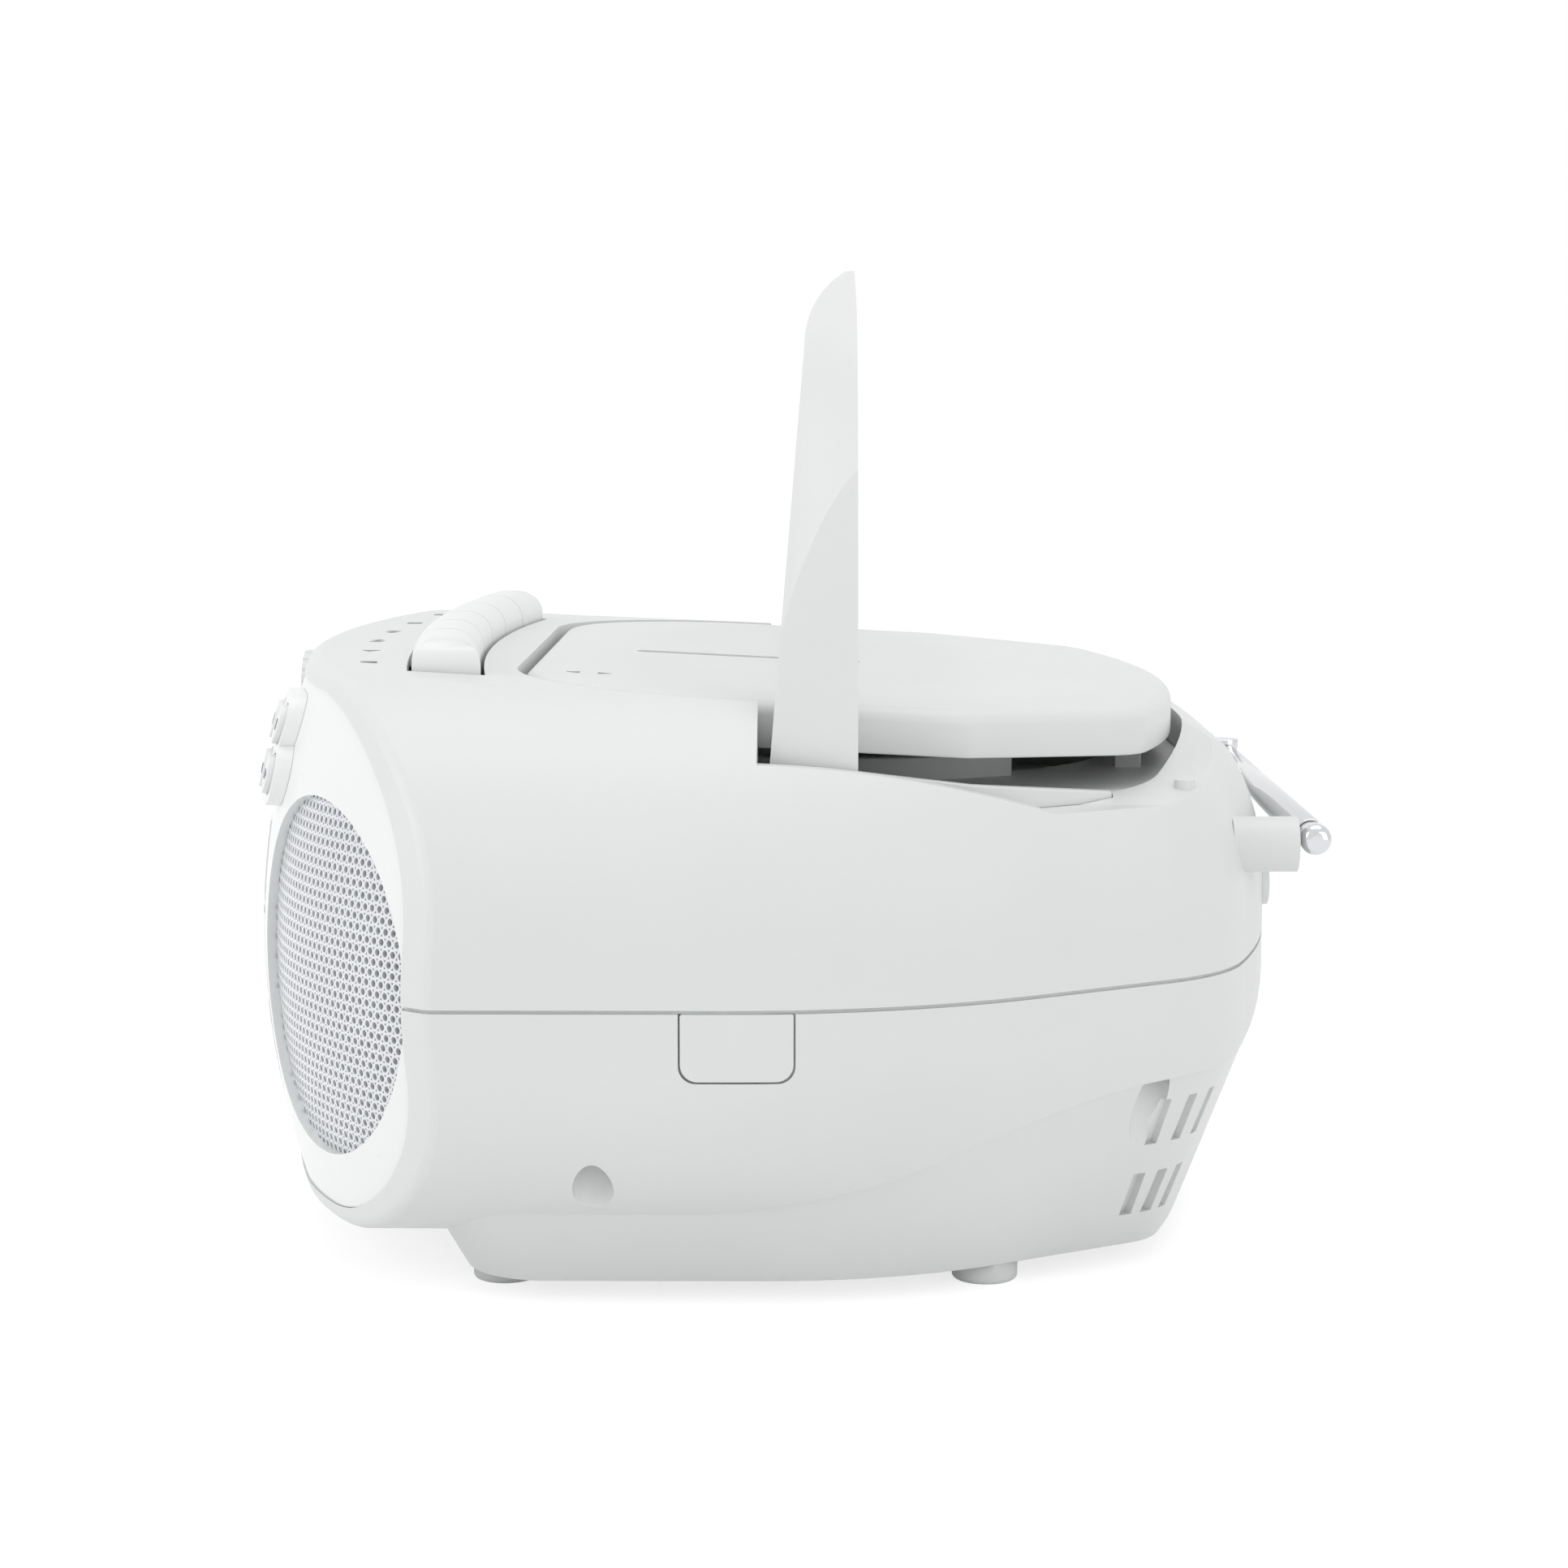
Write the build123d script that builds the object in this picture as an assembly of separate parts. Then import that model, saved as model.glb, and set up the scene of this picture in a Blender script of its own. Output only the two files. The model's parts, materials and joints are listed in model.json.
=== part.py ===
from build123d import *
from math import asin, atan2, cos, degrees, radians, sin, sqrt
import os
from functools import lru_cache

# A portable radio with a disc player and a cassette deck, in millimetres.
# x runs to the right as seen from the front, y to the back and z up.

# Cabinet envelope
HALF_WIDTH = 138.0
TOP_Z = 129.5
KEEL_Z = 13.0
SEAM_Z = 66.0
SEAM_GAP = 0.8
WALL = 2.5
TOP_CORNER_R = 52.0
KEEL_CORNER_R = 40.0
DECK_Z = 102.0
DECK_THICKNESS = 2.5
WALL_FRONT_Z = 113.5
WALL_MIDDLE_Y = 35.0
WALL_MIDDLE_Z = 109.2
WALL_END_Y = 61.0
BASE_Z = 4.5
FAR = 400.0
DEPTH_SHIFT = -2.35

# Front: three tangent arcs in plan with a vertical bulge
FRONT_Y = -116.0
FRONT_CORNER_R = 109.0
FRONT_CORNER_X = 50.0
FRONT_CORNER_Y = -1.0
BULGE_R = 170.0
BULGE_Z = 67.0
PANEL_THICKNESS = 2.6
LIP = 4.2
PANEL_SINK = 0.5
RIM_R = 3.5
RIM_REAR_Y = -60.0
CROWN_Y = -85.0

# Plan of the sides and the back: tangent arcs and one straight stretch
SIDE_END_Y = -5.0
FLANK_R = 120.0
FLANK_TURN = 31.0
FLANK_RUN = 34.0
REAR_CORNER_R = 40.0
REAR_CORNER_TURN = 72.0

# Disc lid and its well
LID_HALF_WIDTH = 104.0
LID_FRONT_Y = -52.0
LID_REAR_INSET = 21.5
LID_FRONT_R = 48.0
LID_GAP = 1.6
LID_REAR_GAP = 2.6
LID_SHEET = 2.4
LID_SKIRT = 7.5
LID_EDGE_R = 3.0
LID_FRONT_Z = 127.2
LID_SLOPE = -0.05
LID_AXIS_Y = 82.0
LID_AXIS_Z = 112.5
LID_LUG_R = 3.0
LID_LUG_X = (44.0, 48.0)
LID_POST_X = (38.0, 43.5)
LID_GROOVE = (48.0, 5.0, 0.8)
LID_GROOVE_Y = -4.0
PLATEAU_Z = 112.5
PLATEAU_R = 450.0
DISC_Y = 19.0
DISC_WELL_R = 62.0
TRAY_SHEET = 1.6
TRAY_LEDGE = 5.0
TRAY_RAIL = ((16.0, 110.9), (74.0, 104.2))
TRAY_RAIL_GROW = (2.6, 5.4)
REST_STUD = (85.0, 90.0)
REST_STUD_R = 2.2
WELL_WALL = 3.0
WELL_COLLAR_R = 69.0
WELL_RIM_R = 65.5
WELL_OPEN_Y = 55.0

# Carrying handle
HANDLE_PIVOT_Y = 13.0
HANDLE_PIVOT_Z = 110.0
HANDLE_INNER_X = 110.0
HANDLE_WIDTH = 14.0
HANDLE_PIN_R = 3.0
HANDLE_HEEL_R = 7.4
HANDLE_RUN = 43.0
HANDLE_FACET = ((118.8, 0.0), (114.0, 40.0), (105.6, 76.0))
HANDLE_INSET = 2.5
HANDLE_CREST_Z = 125.0
HANDLE_CREST_R = 30.0
HANDLE_LUG_X = (105.0, 109.5)
HANDLE_LUG_Y = (4.6, 19.6)
HANDLE_LUG_Z = 118.0
HANDLE_PIN_LENGTH = 10.8
HANDLE_BORE_X = 116.6
RUNNING = 0.05
FIXED_FIT = 0.02
CLEAR = 0.3

# Loudspeakers
GRILLE_Z = 67.0
GRILLE_X = 105.0
GRILLE_R = 37.5
GRILLE_SHEET = 1.0
SPEAKER_SETBACK = 12.5

BAFFLE_R = 38.5
CONE_RIM_R = 34.0

# Cassette deck
DOOR_PIN_R = 1.5
RAIL_REAR_Y = -97.0
DOOR_HALF_WIDTH = 54.0
DOOR_LOW_Z = 25.0
DOOR_HIGH_Z = 93.0
DOOR_GAP = 0.5
DOOR_LOW_GAP = 3.4
DOOR_AXIS_Y = -101.0
DOOR_AXIS_Z = 28.0
KEY_COUNT = 6
KEY_PITCH = 27.2
KEY_GAP = 0.5
KEY_ROW_Y = -72.0
KEY_ROW_R = 620.0
KEY_DEPTH = 14.6
KEY_TOP_Z = 135.5
KEY_FOOT_Z = 119.0
KEY_ROUND = 6.0
KEY_SLOT_MARGIN = 1.0
KEY_STEM = (8.0, 6.0, 7.0)
KEY_NAMES = ("pause", "stop", "fast_forward", "rewind", "play", "record")

REEL_X = 21.25
REEL_Z = 55.0
CAPSTAN_X = 26.0
CAPSTAN_Z = 86.0
FLYWHEEL_R = 20.0
MOTOR_X = -22.0
MOTOR_Z = 58.0
PULLEY_R = 6.0

# Front controls as (x, z) places
POD_LOBES = ((64.0, 116.0), (67.0, 105.5))
POD_SIZE = (26.0, 13.5)
POD_RISE = 2.6
BUTTON_PLACES = ((58.0, 116.0), (70.0, 116.0), (61.0, 105.5), (73.0, 105.5))
BUTTON_NAMES = ("cd_play_button", "cd_stop_button", "cd_back_button", "cd_forward_button")
BUTTON_R = 4.2
BUTTON_RISE = 3.8
KNOB_PLACES = ((-57.0, 112.0), (-80.0, 108.0))
KNOB_NAMES = ("volume_knob", "tuning_knob")
KNOB_R = 9.5
KNOB_SHAFT_R = 3.0
KNOB_BACK_Y = (-109.6, -106.2)
KNOB_HEIGHT = 8.4
BOARD_Y = -92.8
SLIDER_PLACES = ((-37.0, 108.5), (-37.0, 101.5))
SLIDER_NAMES = ("function_slider", "band_slider")
SLIDER_TRAVEL = 6.0

# Base
BELLY_TOP_Z = 49.0
BELLY_TOP_INSET = 1.0
BELLY_LOW_INSET = 25.0
BELLY_LOW_SHIFT = 7.0
BELLY_TOP_FRONT_Y = -82.0
BELLY_LOW_FRONT_Y = -62.0
BELLY_FRONT_R = 18.0
BELLY_FRONT_INSET = 8.0
CREASE = ((-74.0, 12.6), (-39.0, 17.6), (3.0, 23.1), (27.5, 29.0), (44.0, 35.5), (61.0, 41.0), (84.0, 45.0))
ROLL = ((101.0, 46.0), (110.5, 53.0), (117.0, 66.0))
LEDGE_Y = 97.8
SIDE_COVER_Y = -3.75
SCREW_PLACES = ((129.0, -33.0, 40.0), (-129.0, -33.0, 40.0), (99.0, 82.0, 50.0), (-99.0, 82.0, 50.0))
SCREW_WELL_R = 4.2
SCREW_BOSS_R = 7.0
SCREW_END_Z = 85.0
FOOT_R = 7.0
FOOT_X = 93.0
FOOT_FRONT_Y = -54.0
FOOT_REAR_Y = 48.0

WELL_FLOOR_Z = 94.5
WELL_RIM_Z = 108.5
TURNTABLE_R = 16.0
LID_PIN_R = 2.0
SCREW_SHANK_R = 1.4
BATTERY_X = 80.0
BATTERY_Y = 35.0
BATTERY_TOP_Z = 37.0
BATTERY_AXIS_Y = -32.0
BATTERY_AXIS_Z = 5.8
VENT_DEPTH = 1.5
VENT_WIDTH = 3.2
VENT_ROWS = ((12.0, 22.0), (29.0, 39.5))
VENT_TURNS = (36.0, 50.0, 64.0)
VENT_PITCH = 11.0
VENT_COUNT = 11
INLET_X = -40.0
INLET_FACE_Y = 113.0
SOCKET_FIT = 0.25
SOCKET_REACH = 10.0
JACK_X = 40.0

# Telescopic aerial
CRADLE_X = 74.0
CRADLE_Z = 90.6
CRADLE_R = 6.0
CRADLE_ROOT_Y = 101.5
TURRET_R = 6.0
TURRET_Y = 112.6
AERIAL_Y = 119.3
AERIAL_Z = 92.0
AERIAL_PIVOT_X = -78.0
AERIAL_ENDS = (69.0, 70.5, 72.0, 73.5)
AERIAL_STARTS = (-71.0, -65.0, -63.0, -61.0)
AERIAL_CAP = 5.5
AERIAL_RADII = (3.4, 2.8, 2.2, 1.6)
AERIAL_NAMES = ("aerial_tube", "aerial_section_2", "aerial_section_3", "aerial_tip")
AERIAL_PIN_R = 1.4


def polar(centre, radius, angle):
    """Point at an angle in degrees on a circle in plan."""
    return (centre[0] + radius * cos(radians(angle)), centre[1] + radius * sin(radians(angle)))


def mirrored(solid):
    """The same solid on the other side of the middle plane."""
    return mirror(solid, about=Plane.YZ)


def block(x0, x1, y0, y1, z0, z1):
    """Box between two corners."""
    return Pos((x0 + x1) / 2, (y0 + y1) / 2, (z0 + z1) / 2) * Box(x1 - x0, y1 - y0, z1 - z0)


def rod(start, direction, radius, length):
    """Cylinder that begins at a point and runs along a direction."""
    plane = Plane(origin=start, z_dir=direction)
    return extrude(plane * Circle(radius), amount=length)


def ring(start, direction, outer, inner, length):
    """Tube that begins at a point and runs along a direction."""
    plane = Plane(origin=start, z_dir=direction)
    return extrude(plane * (Circle(outer) - Circle(inner)), amount=length)


def side_slab(points, x0=-FAR, x1=FAR):
    """Prism across the width with a side profile given as (y, z) points."""
    face = make_face(Polyline(*[(x0, y, z) for y, z in points], close=True))
    return extrude(face, amount=x1 - x0, dir=(1, 0, 0))


def arc_through(centre, radius, start, end):
    """Arc in plan between two angles about a centre."""
    middle = (start + end) / 2
    return ThreePointArc(*[polar(centre, radius, a) for a in (start, middle, end)])


def plan_centres(run):
    """Centres of the plan's flank, rear corner and back, and the back's radius, for a straight stretch."""
    flank = (HALF_WIDTH - FLANK_R, SIDE_END_Y)
    flank_end = polar(flank, FLANK_R, FLANK_TURN)
    corner_start = polar(flank_end, run, FLANK_TURN + 90)
    corner = polar(corner_start, -REAR_CORNER_R, FLANK_TURN)
    corner_end = polar(corner, REAR_CORNER_R, REAR_CORNER_TURN)
    back_r = corner_end[0] / cos(radians(REAR_CORNER_TURN))
    back = polar(corner_end, -back_r, REAR_CORNER_TURN)
    return flank, corner, back, back_r


@lru_cache(maxsize=None)
def plan_face(inset):
    """Cabinet plan, drawn in by an inset, as a face at height zero."""
    flank, corner, back, back_r = plan_centres(FLANK_RUN)
    front = (HALF_WIDTH - inset, -FAR / 2)
    side_end = polar(flank, FLANK_R - inset, 0)
    right = [
        Line(front, side_end),
        arc_through(flank, FLANK_R - inset, 0, FLANK_TURN),
        Line(polar(flank, FLANK_R - inset, FLANK_TURN), polar(corner, REAR_CORNER_R - inset, FLANK_TURN)),
        arc_through(corner, REAR_CORNER_R - inset, FLANK_TURN, REAR_CORNER_TURN),
        arc_through(back, back_r - inset, REAR_CORNER_TURN, 90),
    ]
    left = [mirror(edge, about=Plane.YZ) for edge in right]
    closing = Line((-front[0], front[1]), front)
    return make_face(right + left + [closing])


def plan_solid(inset, z0, z1):
    """Cabinet plan, drawn in by an inset, between two heights."""
    return Pos(0, 0, z0) * extrude(plan_face(inset), amount=z1 - z0, dir=(0, 0, 1))


@lru_cache(maxsize=None)
def tunnel_solid(inset):
    """Cabinet section as seen from the front, drawn in by an inset and run through the depth."""
    height = TOP_Z - KEEL_Z - 2 * inset
    section = Rectangle(2 * (HALF_WIDTH - inset), height)
    by_height = section.vertices().group_by(Axis.Y)
    section = fillet(by_height[-1], TOP_CORNER_R - inset)
    section = fillet(section.vertices().group_by(Axis.Y)[0], KEEL_CORNER_R - inset)
    placed = Plane.XZ * (Pos(0, (TOP_Z + KEEL_Z) / 2) * section)
    return extrude(placed, amount=FAR, both=True)


def bulge_sector(centre, radius, inset, start, turn):
    """Part of the front's bulged wall, filled in to its own upright axis."""
    low, high = -10.0, 150.0

    def reach(z):
        """Distance of the wall from the axis at a height."""
        return radius - BULGE_R + sqrt((BULGE_R - inset) ** 2 - (z - BULGE_Z) ** 2)

    wall = ThreePointArc((reach(low), low), (reach(BULGE_Z), BULGE_Z), (reach(high), high))
    rest = Polyline((reach(high), high), (0, high), (0, low), (reach(low), low))
    face = edge_plane(centre, start) * make_face([wall, rest])
    axis = Axis((centre[0], centre[1], 0), (0, 0, 1))
    return revolve(face, axis, turn)


@lru_cache(maxsize=None)
def front_solid(inset):
    """Everything behind the front's bulged wall, drawn in by an inset."""
    gap = FRONT_CORNER_Y - FRONT_Y
    rise = gap ** 2 + FRONT_CORNER_X ** 2 - FRONT_CORNER_R ** 2
    middle_r = rise / (2 * (gap - FRONT_CORNER_R))
    middle = (0, FRONT_Y + middle_r)
    corner = (FRONT_CORNER_X, FRONT_CORNER_Y)
    joint = degrees(atan2(corner[1] - middle[1], corner[0]))
    right = bulge_sector(corner, FRONT_CORNER_R, inset, joint, -joint)
    centre = bulge_sector(middle, middle_r, inset, -180 - joint, 2 * joint + 180)
    rear = block(-180, 180, FRONT_CORNER_Y, 160, -10, 150)
    return centre + right + mirrored(right) + rear


def edge_section(reach, inset, top_z, top_r):
    """Section across the cabinet's edge, from an upright axis out to a reach, with rounded corners."""
    low_z = KEEL_Z + inset
    section = Pos(reach - FAR / 2, (top_z + low_z) / 2) * Rectangle(FAR, top_z - low_z)
    section = fillet(section.vertices().group_by(Axis.X)[-1].sort_by(Axis.Y)[-1], top_r)
    section = fillet(section.vertices().group_by(Axis.X)[-1].sort_by(Axis.Y)[0], KEEL_CORNER_R - inset)
    return section & (Pos(FAR / 2, 0) * Rectangle(FAR, FAR))


def edge_plane(centre, angle):
    """Upright plane through an axis, with its x along a direction in plan."""
    c, s = cos(radians(angle)), sin(radians(angle))
    return Plane(origin=(centre[0], centre[1], 0), x_dir=(c, s, 0), z_dir=(s, -c, 0))


def swept_edge(inset, run, top_z, top_r):
    """Sides and back of the cabinet form with one edge section all round, for a straight stretch."""
    flank, corner, back, back_r = plan_centres(run)

    def sector(centre, radius, start, end):
        """Edge section turned about an upright axis between two directions."""
        face = edge_plane(centre, start) * edge_section(radius - inset, inset, top_z, top_r)
        return revolve(face, Axis((centre[0], centre[1], 0), (0, 0, 1)), end - start)

    side = sector(flank, FLANK_R, 0, FLANK_TURN)
    stretch = edge_plane(flank, FLANK_TURN) * edge_section(FLANK_R - inset, inset, top_z, top_r)
    side += extrude(stretch, amount=run, dir=(*polar((0, 0), 1, FLANK_TURN + 90), 0))
    side += sector(corner, REAR_CORNER_R, FLANK_TURN, REAR_CORNER_TURN)
    return side + mirrored(side) + sector(back, back_r, REAR_CORNER_TURN, 180 - REAR_CORNER_TURN)


@lru_cache(maxsize=None)
def cabinet_block(inset):
    """Whole cabinet form between keel and top, drawn in by an inset."""
    front = tunnel_solid(inset) & block(-FAR, FAR, -FAR / 2, SIDE_END_Y, 0, 150)
    return front + swept_edge(inset, FLANK_RUN, TOP_Z - inset, TOP_CORNER_R - inset)


def profile_solid(edges):
    """Prism across the width from the edges of a side profile."""
    return extrude(make_face(edges), amount=2 * FAR, dir=(1, 0, 0))


def side_points(points):
    """Points of a side profile from (y, z) pairs."""
    return [(-FAR, y, z) for y, z in points]


def above_wall(lift):
    """What stands open above the falling edge of the side walls and above the rear deck."""
    start, end = (0, WALL_FRONT_Z + lift), (WALL_END_Y, DECK_Z + lift)
    edge = ThreePointArc(*side_points([start, (WALL_MIDDLE_Y, WALL_MIDDLE_Z + lift), end]))
    rest = Polyline(*side_points([end, (160, DECK_Z + lift), (160, 160), (0, 160), start]))
    return profile_solid([edge, rest])


@lru_cache(maxsize=None)
def rimmed_block():
    """Whole cabinet form behind the bulged front, with its front rim rounded."""
    body = cabinet_block(0) & front_solid(0)
    rim = [edge for edge in body.edges().filter_by(GeomType.BSPLINE) if edge.center().Y < RIM_REAR_Y]
    return fillet(rim, RIM_R)


def crown_solid():
    """Everything under the top, which slopes gently to the lid and along it."""
    return side_slab([(-140, 0), (-140, TOP_Z), (CROWN_Y, TOP_Z), (LID_FRONT_Y, LID_FRONT_Z), (0, lid_top_z(0)),
                      (160, 124), (160, 0)])


def rear_plateau():
    """Crowned rise of the deck behind the lid."""
    crown = rod((0, 50, PLATEAU_Z - PLATEAU_R), (0, 1, 0), PLATEAU_R, 100)
    return crown & block(-FAR, FAR, 50, 150, DECK_Z - 1, 160)


def rear_shoulder():
    """Side profile with the rounded shoulder from the plateau down to the back wall."""
    start, end = (86, 114), (116.6, 88)
    arc = ThreePointArc(*side_points([start, (106, 106.5), end]))
    rest = Polyline(*side_points([end, (160, end[1]), (160, 0), (-160, 0), (-160, 160), (start[0], 160), start]))
    return profile_solid([arc, rest])


def lid_plan(grow, z0, z1, rear_grow=None):
    """Lid outline, grown by a margin that may differ at the rear, between two heights."""
    half = LID_HALF_WIDTH + grow
    slab = block(-half, half, LID_FRONT_Y - grow, 160, z0, z1)
    corners = slab.edges().filter_by(Axis.Z).group_by(Axis.Y)[0]
    slab = fillet(corners, LID_FRONT_R + grow)
    return slab & plan_solid(LID_REAR_INSET - (grow if rear_grow is None else rear_grow), z0, z1)


def panel_mouth():
    """Opening behind the cabinets' front lip that takes the front panel."""
    return plan_solid(LIP, 0, 150) & tunnel_solid(LIP) & block(-FAR, FAR, -130, -60, 0, 150)


def cabinet_cavity():
    """Room inside the cabinets behind the front panel's rim."""
    return cabinet_block(WALL) & front_solid(PANEL_THICKNESS + 1.0)


def key_arc(index, margin):
    """Ring sector of one key's length along the row's arc, widened by a margin."""
    pitch = degrees(KEY_PITCH / KEY_ROW_R)
    start = 270 + (index - KEY_COUNT / 2) * pitch
    half = degrees((KEY_GAP / 2 - margin) / KEY_ROW_R)
    axis = (0, KEY_ROW_Y + KEY_ROW_R)
    inner, outer = KEY_ROW_R - KEY_DEPTH / 2 - margin, KEY_ROW_R + KEY_DEPTH / 2 + margin
    return axis, inner, outer, start + half, start + pitch - half


def arc_block(axis, inner, outer, start, end, z0, z1):
    """Block bent about an upright axis between two radii, two directions and two heights."""
    section = Pos((inner + outer) / 2, (z0 + z1) / 2) * Rectangle(outer - inner, z1 - z0)
    face = edge_plane(axis, start) * section
    return revolve(face, Axis((axis[0], axis[1], 0), (0, 0, 1)), end - start)


def key_slot():
    """Opening in the top for the whole row of keys."""
    axis, inner, outer, start, _ = key_arc(0, KEY_SLOT_MARGIN)
    end = key_arc(KEY_COUNT - 1, KEY_SLOT_MARGIN)[4]
    return arc_block(axis, inner, outer, start, end, KEY_FOOT_Z - 11, 160)


def upper_cabinet():
    """Upper shell: key top, cheeks beside the lid, side walls, rear deck and back."""
    z0 = SEAM_Z + SEAM_GAP / 2
    outer = rimmed_block() & crown_solid() & block(-FAR, FAR, -FAR, FAR, z0, 150)
    deck_low = DECK_Z - DECK_THICKNESS
    recess = lid_plan(LID_GAP, DECK_Z, 160, LID_REAR_GAP) + rail_stretch(CLEAR, DECK_Z, 160)
    step_y = LID_FRONT_Y - LID_GAP - WALL
    lowered = (Pos(0, 0, -WALL) * crown_solid()) & (Pos(0, -WALL, -WALL) * rear_shoulder())
    inside = (cabinet_cavity() & lowered) + panel_mouth()
    under_deck = block(-FAR, FAR, -FAR, FAR, 0, deck_low)
    under_top = block(-FAR, FAR, -FAR, step_y, 0, 150)
    cheek = block(LID_HALF_WIDTH + LID_GAP + WALL, FAR, -FAR, -WALL, 0, 150)
    hollow = inside & (under_deck + under_top + cheek + mirrored(cheek))
    open_inside = cabinet_block(WALL) & block(-FAR, FAR, 0, FAR, DECK_Z, 160)
    shell = outer - hollow - recess - above_wall(0) - open_inside
    shell += (rear_plateau() & cabinet_block(0)) - recess
    shell &= rear_shoulder()
    shell -= lid_plan(-TRAY_LEDGE, deck_low - 1, DECK_Z + 1)
    stud = Pos(*REST_STUD, DECK_Z + 1) * Cylinder(REST_STUD_R, 6)
    shell += stud + mirrored(stud)
    for x, y, _ in SCREW_PLACES:
        boss = Pos(x, y, 80) * Cylinder(5, 40) & cabinet_block(0.5) & block(-FAR, FAR, -FAR, FAR, z0, DECK_Z - 1)
        shell += boss
        shell -= rod((x, y, z0 - 1), (0, 0, 1), SCREW_SHANK_R, SCREW_END_Z + 4 - z0)
    cradle_end = AERIAL_Y - AERIAL_RADII[0] - CLEAR
    shell += rod((CRADLE_X, CRADLE_ROOT_Y, CRADLE_Z), (0, 1, 0), CRADLE_R, cradle_end - CRADLE_ROOT_Y)
    shell += rod((AERIAL_PIVOT_X, CRADLE_ROOT_Y, AERIAL_Z), (0, 1, 0), TURRET_R + 1, TURRET_Y - CRADLE_ROOT_Y)
    shell -= key_slot()
    for hole in rear_sockets(SOCKET_FIT, SOCKET_REACH):
        shell -= hole
    return shell


def rail_stretch(grow, z0, z1):
    """Room of the tray's side rails along the lid, grown by a margin, between two heights."""
    (front_y, _), (rear_y, _) = TRAY_RAIL
    return lid_plan(TRAY_RAIL_GROW[1] + grow, z0, z1) & block(-FAR, FAR, front_y - grow, rear_y + grow, z0, z1)


def disc_tray():
    """Tray let into the deck: disc well, side rails, handle lugs and lid hinge posts."""
    plate_z = DECK_Z + TRAY_SHEET
    low_z = WELL_FLOOR_Z - DECK_THICKNESS
    tray = lid_plan(LID_GAP - CLEAR, DECK_Z, plate_z, LID_REAR_GAP - CLEAR) + rail_stretch(0, DECK_Z, plate_z)
    well = rod((0, DISC_Y, low_z), (0, 0, 1), DISC_WELL_R + WELL_WALL, DECK_Z + 1 - low_z)
    collar = rod((0, DISC_Y, DECK_Z), (0, 0, 1), WELL_COLLAR_R, WELL_RIM_Z - DECK_Z)
    collar -= block(-FAR, FAR, WELL_OPEN_Y, FAR, plate_z, 160)
    bowl = rod((0, DISC_Y, WELL_FLOOR_Z), (0, 0, 1), DISC_WELL_R, 40)
    above_rim = rod((0, DISC_Y, WELL_RIM_Z - 3), (0, 0, 1), WELL_RIM_R, 40)
    hub_hole = Pos(0, DISC_Y, WELL_FLOOR_Z) * Cylinder(TURNTABLE_R + 1.0, 20)
    pickup_slot = block(0, 57, DISC_Y - 9, DISC_Y + 9, 80, WELL_FLOOR_Z + 1)
    tray = tray + well + collar - bowl - above_rim - hub_hole - pickup_slot
    (rail_y0, rail_z0), (rail_y1, rail_z1) = TRAY_RAIL
    slope = side_slab([(rail_y0, DECK_Z), (rail_y0, rail_z0), (rail_y1, rail_z1), (rail_y1, DECK_Z)])
    rails = (rail_stretch(0, DECK_Z, 120) - lid_plan(TRAY_RAIL_GROW[0], DECK_Z, 120)) & slope
    lug = block(*HANDLE_LUG_X, *HANDLE_LUG_Y, DECK_Z, HANDLE_LUG_Z)
    lug += block(HANDLE_LUG_X[0] - 5, HANDLE_LUG_X[1], *HANDLE_LUG_Y, DECK_Z, plate_z)
    lug -= rod((HANDLE_LUG_X[0] - 5, HANDLE_PIVOT_Y, HANDLE_PIVOT_Z), (1, 0, 0), HANDLE_PIN_R + FIXED_FIT, 20)
    post = block(*LID_POST_X, LID_AXIS_Y - LID_LUG_R, LID_AXIS_Y + LID_LUG_R, DECK_Z, LID_AXIS_Z)
    post += rod((LID_POST_X[0], LID_AXIS_Y, LID_AXIS_Z), (1, 0, 0), LID_LUG_R, LID_POST_X[1] - LID_POST_X[0])
    post -= rod((LID_POST_X[0] - 1, LID_AXIS_Y, LID_AXIS_Z), (1, 0, 0), LID_PIN_R + FIXED_FIT, 20)
    side = lug + post
    return tray + rails + side + mirrored(side)


def rear_sockets(grow, reach):
    """Outer bodies of the mains inlet and the headphone socket, grown by a margin and drawn out by a reach."""
    inlet = block(INLET_X - 11 - grow, INLET_X + 11 + grow, 95, INLET_FACE_Y + reach, 70 - grow, 84 + grow)
    jack = rod((JACK_X, 98, 77), (0, 1, 0), 5 + grow, 16.2 + reach)
    return inlet, jack


def belly_solid(inset):
    """Lower part of the base, tapering to the underside, drawn in by an inset."""
    def level(z, plan_inset, shift, front_y):
        """Rounded outline of the base at one height."""
        room = Pos(0, front_y + inset + FAR / 2) * Rectangle(2 * FAR, FAR)
        outline = (Pos(0, shift) * plan_face(plan_inset + inset)) & room
        corners = outline.vertices().group_by(Axis.Y)[0]
        return Pos(0, 0, z) * fillet(corners, BELLY_FRONT_R - inset)

    top = level(BELLY_TOP_Z, BELLY_TOP_INSET, 0, BELLY_TOP_FRONT_Y)
    low = level(BASE_Z + inset, BELLY_LOW_INSET, BELLY_LOW_SHIFT, BELLY_LOW_FRONT_Y)
    return loft([low, top], ruled=True)


def above_crease(lift):
    """Side profile of the lower cabinet above the crease along its flank, raised by a lift."""
    flank = side_points([(y, z + lift) for y, z in CREASE])
    start, middle, end = [(y - lift, z + lift) for y, z in ROLL]
    front = Polyline(*side_points([(-140, 0), (CREASE[0][0], 0)]), flank[0])
    roll = ThreePointArc(*side_points([start, middle, end]))
    rest = Polyline(*side_points([end, (160, end[1]), (160, 160), (-140, 160), (-140, 0)]))
    return profile_solid([front, Spline(*flank), Line(flank[-1], *side_points([start])), roll, rest])


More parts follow.
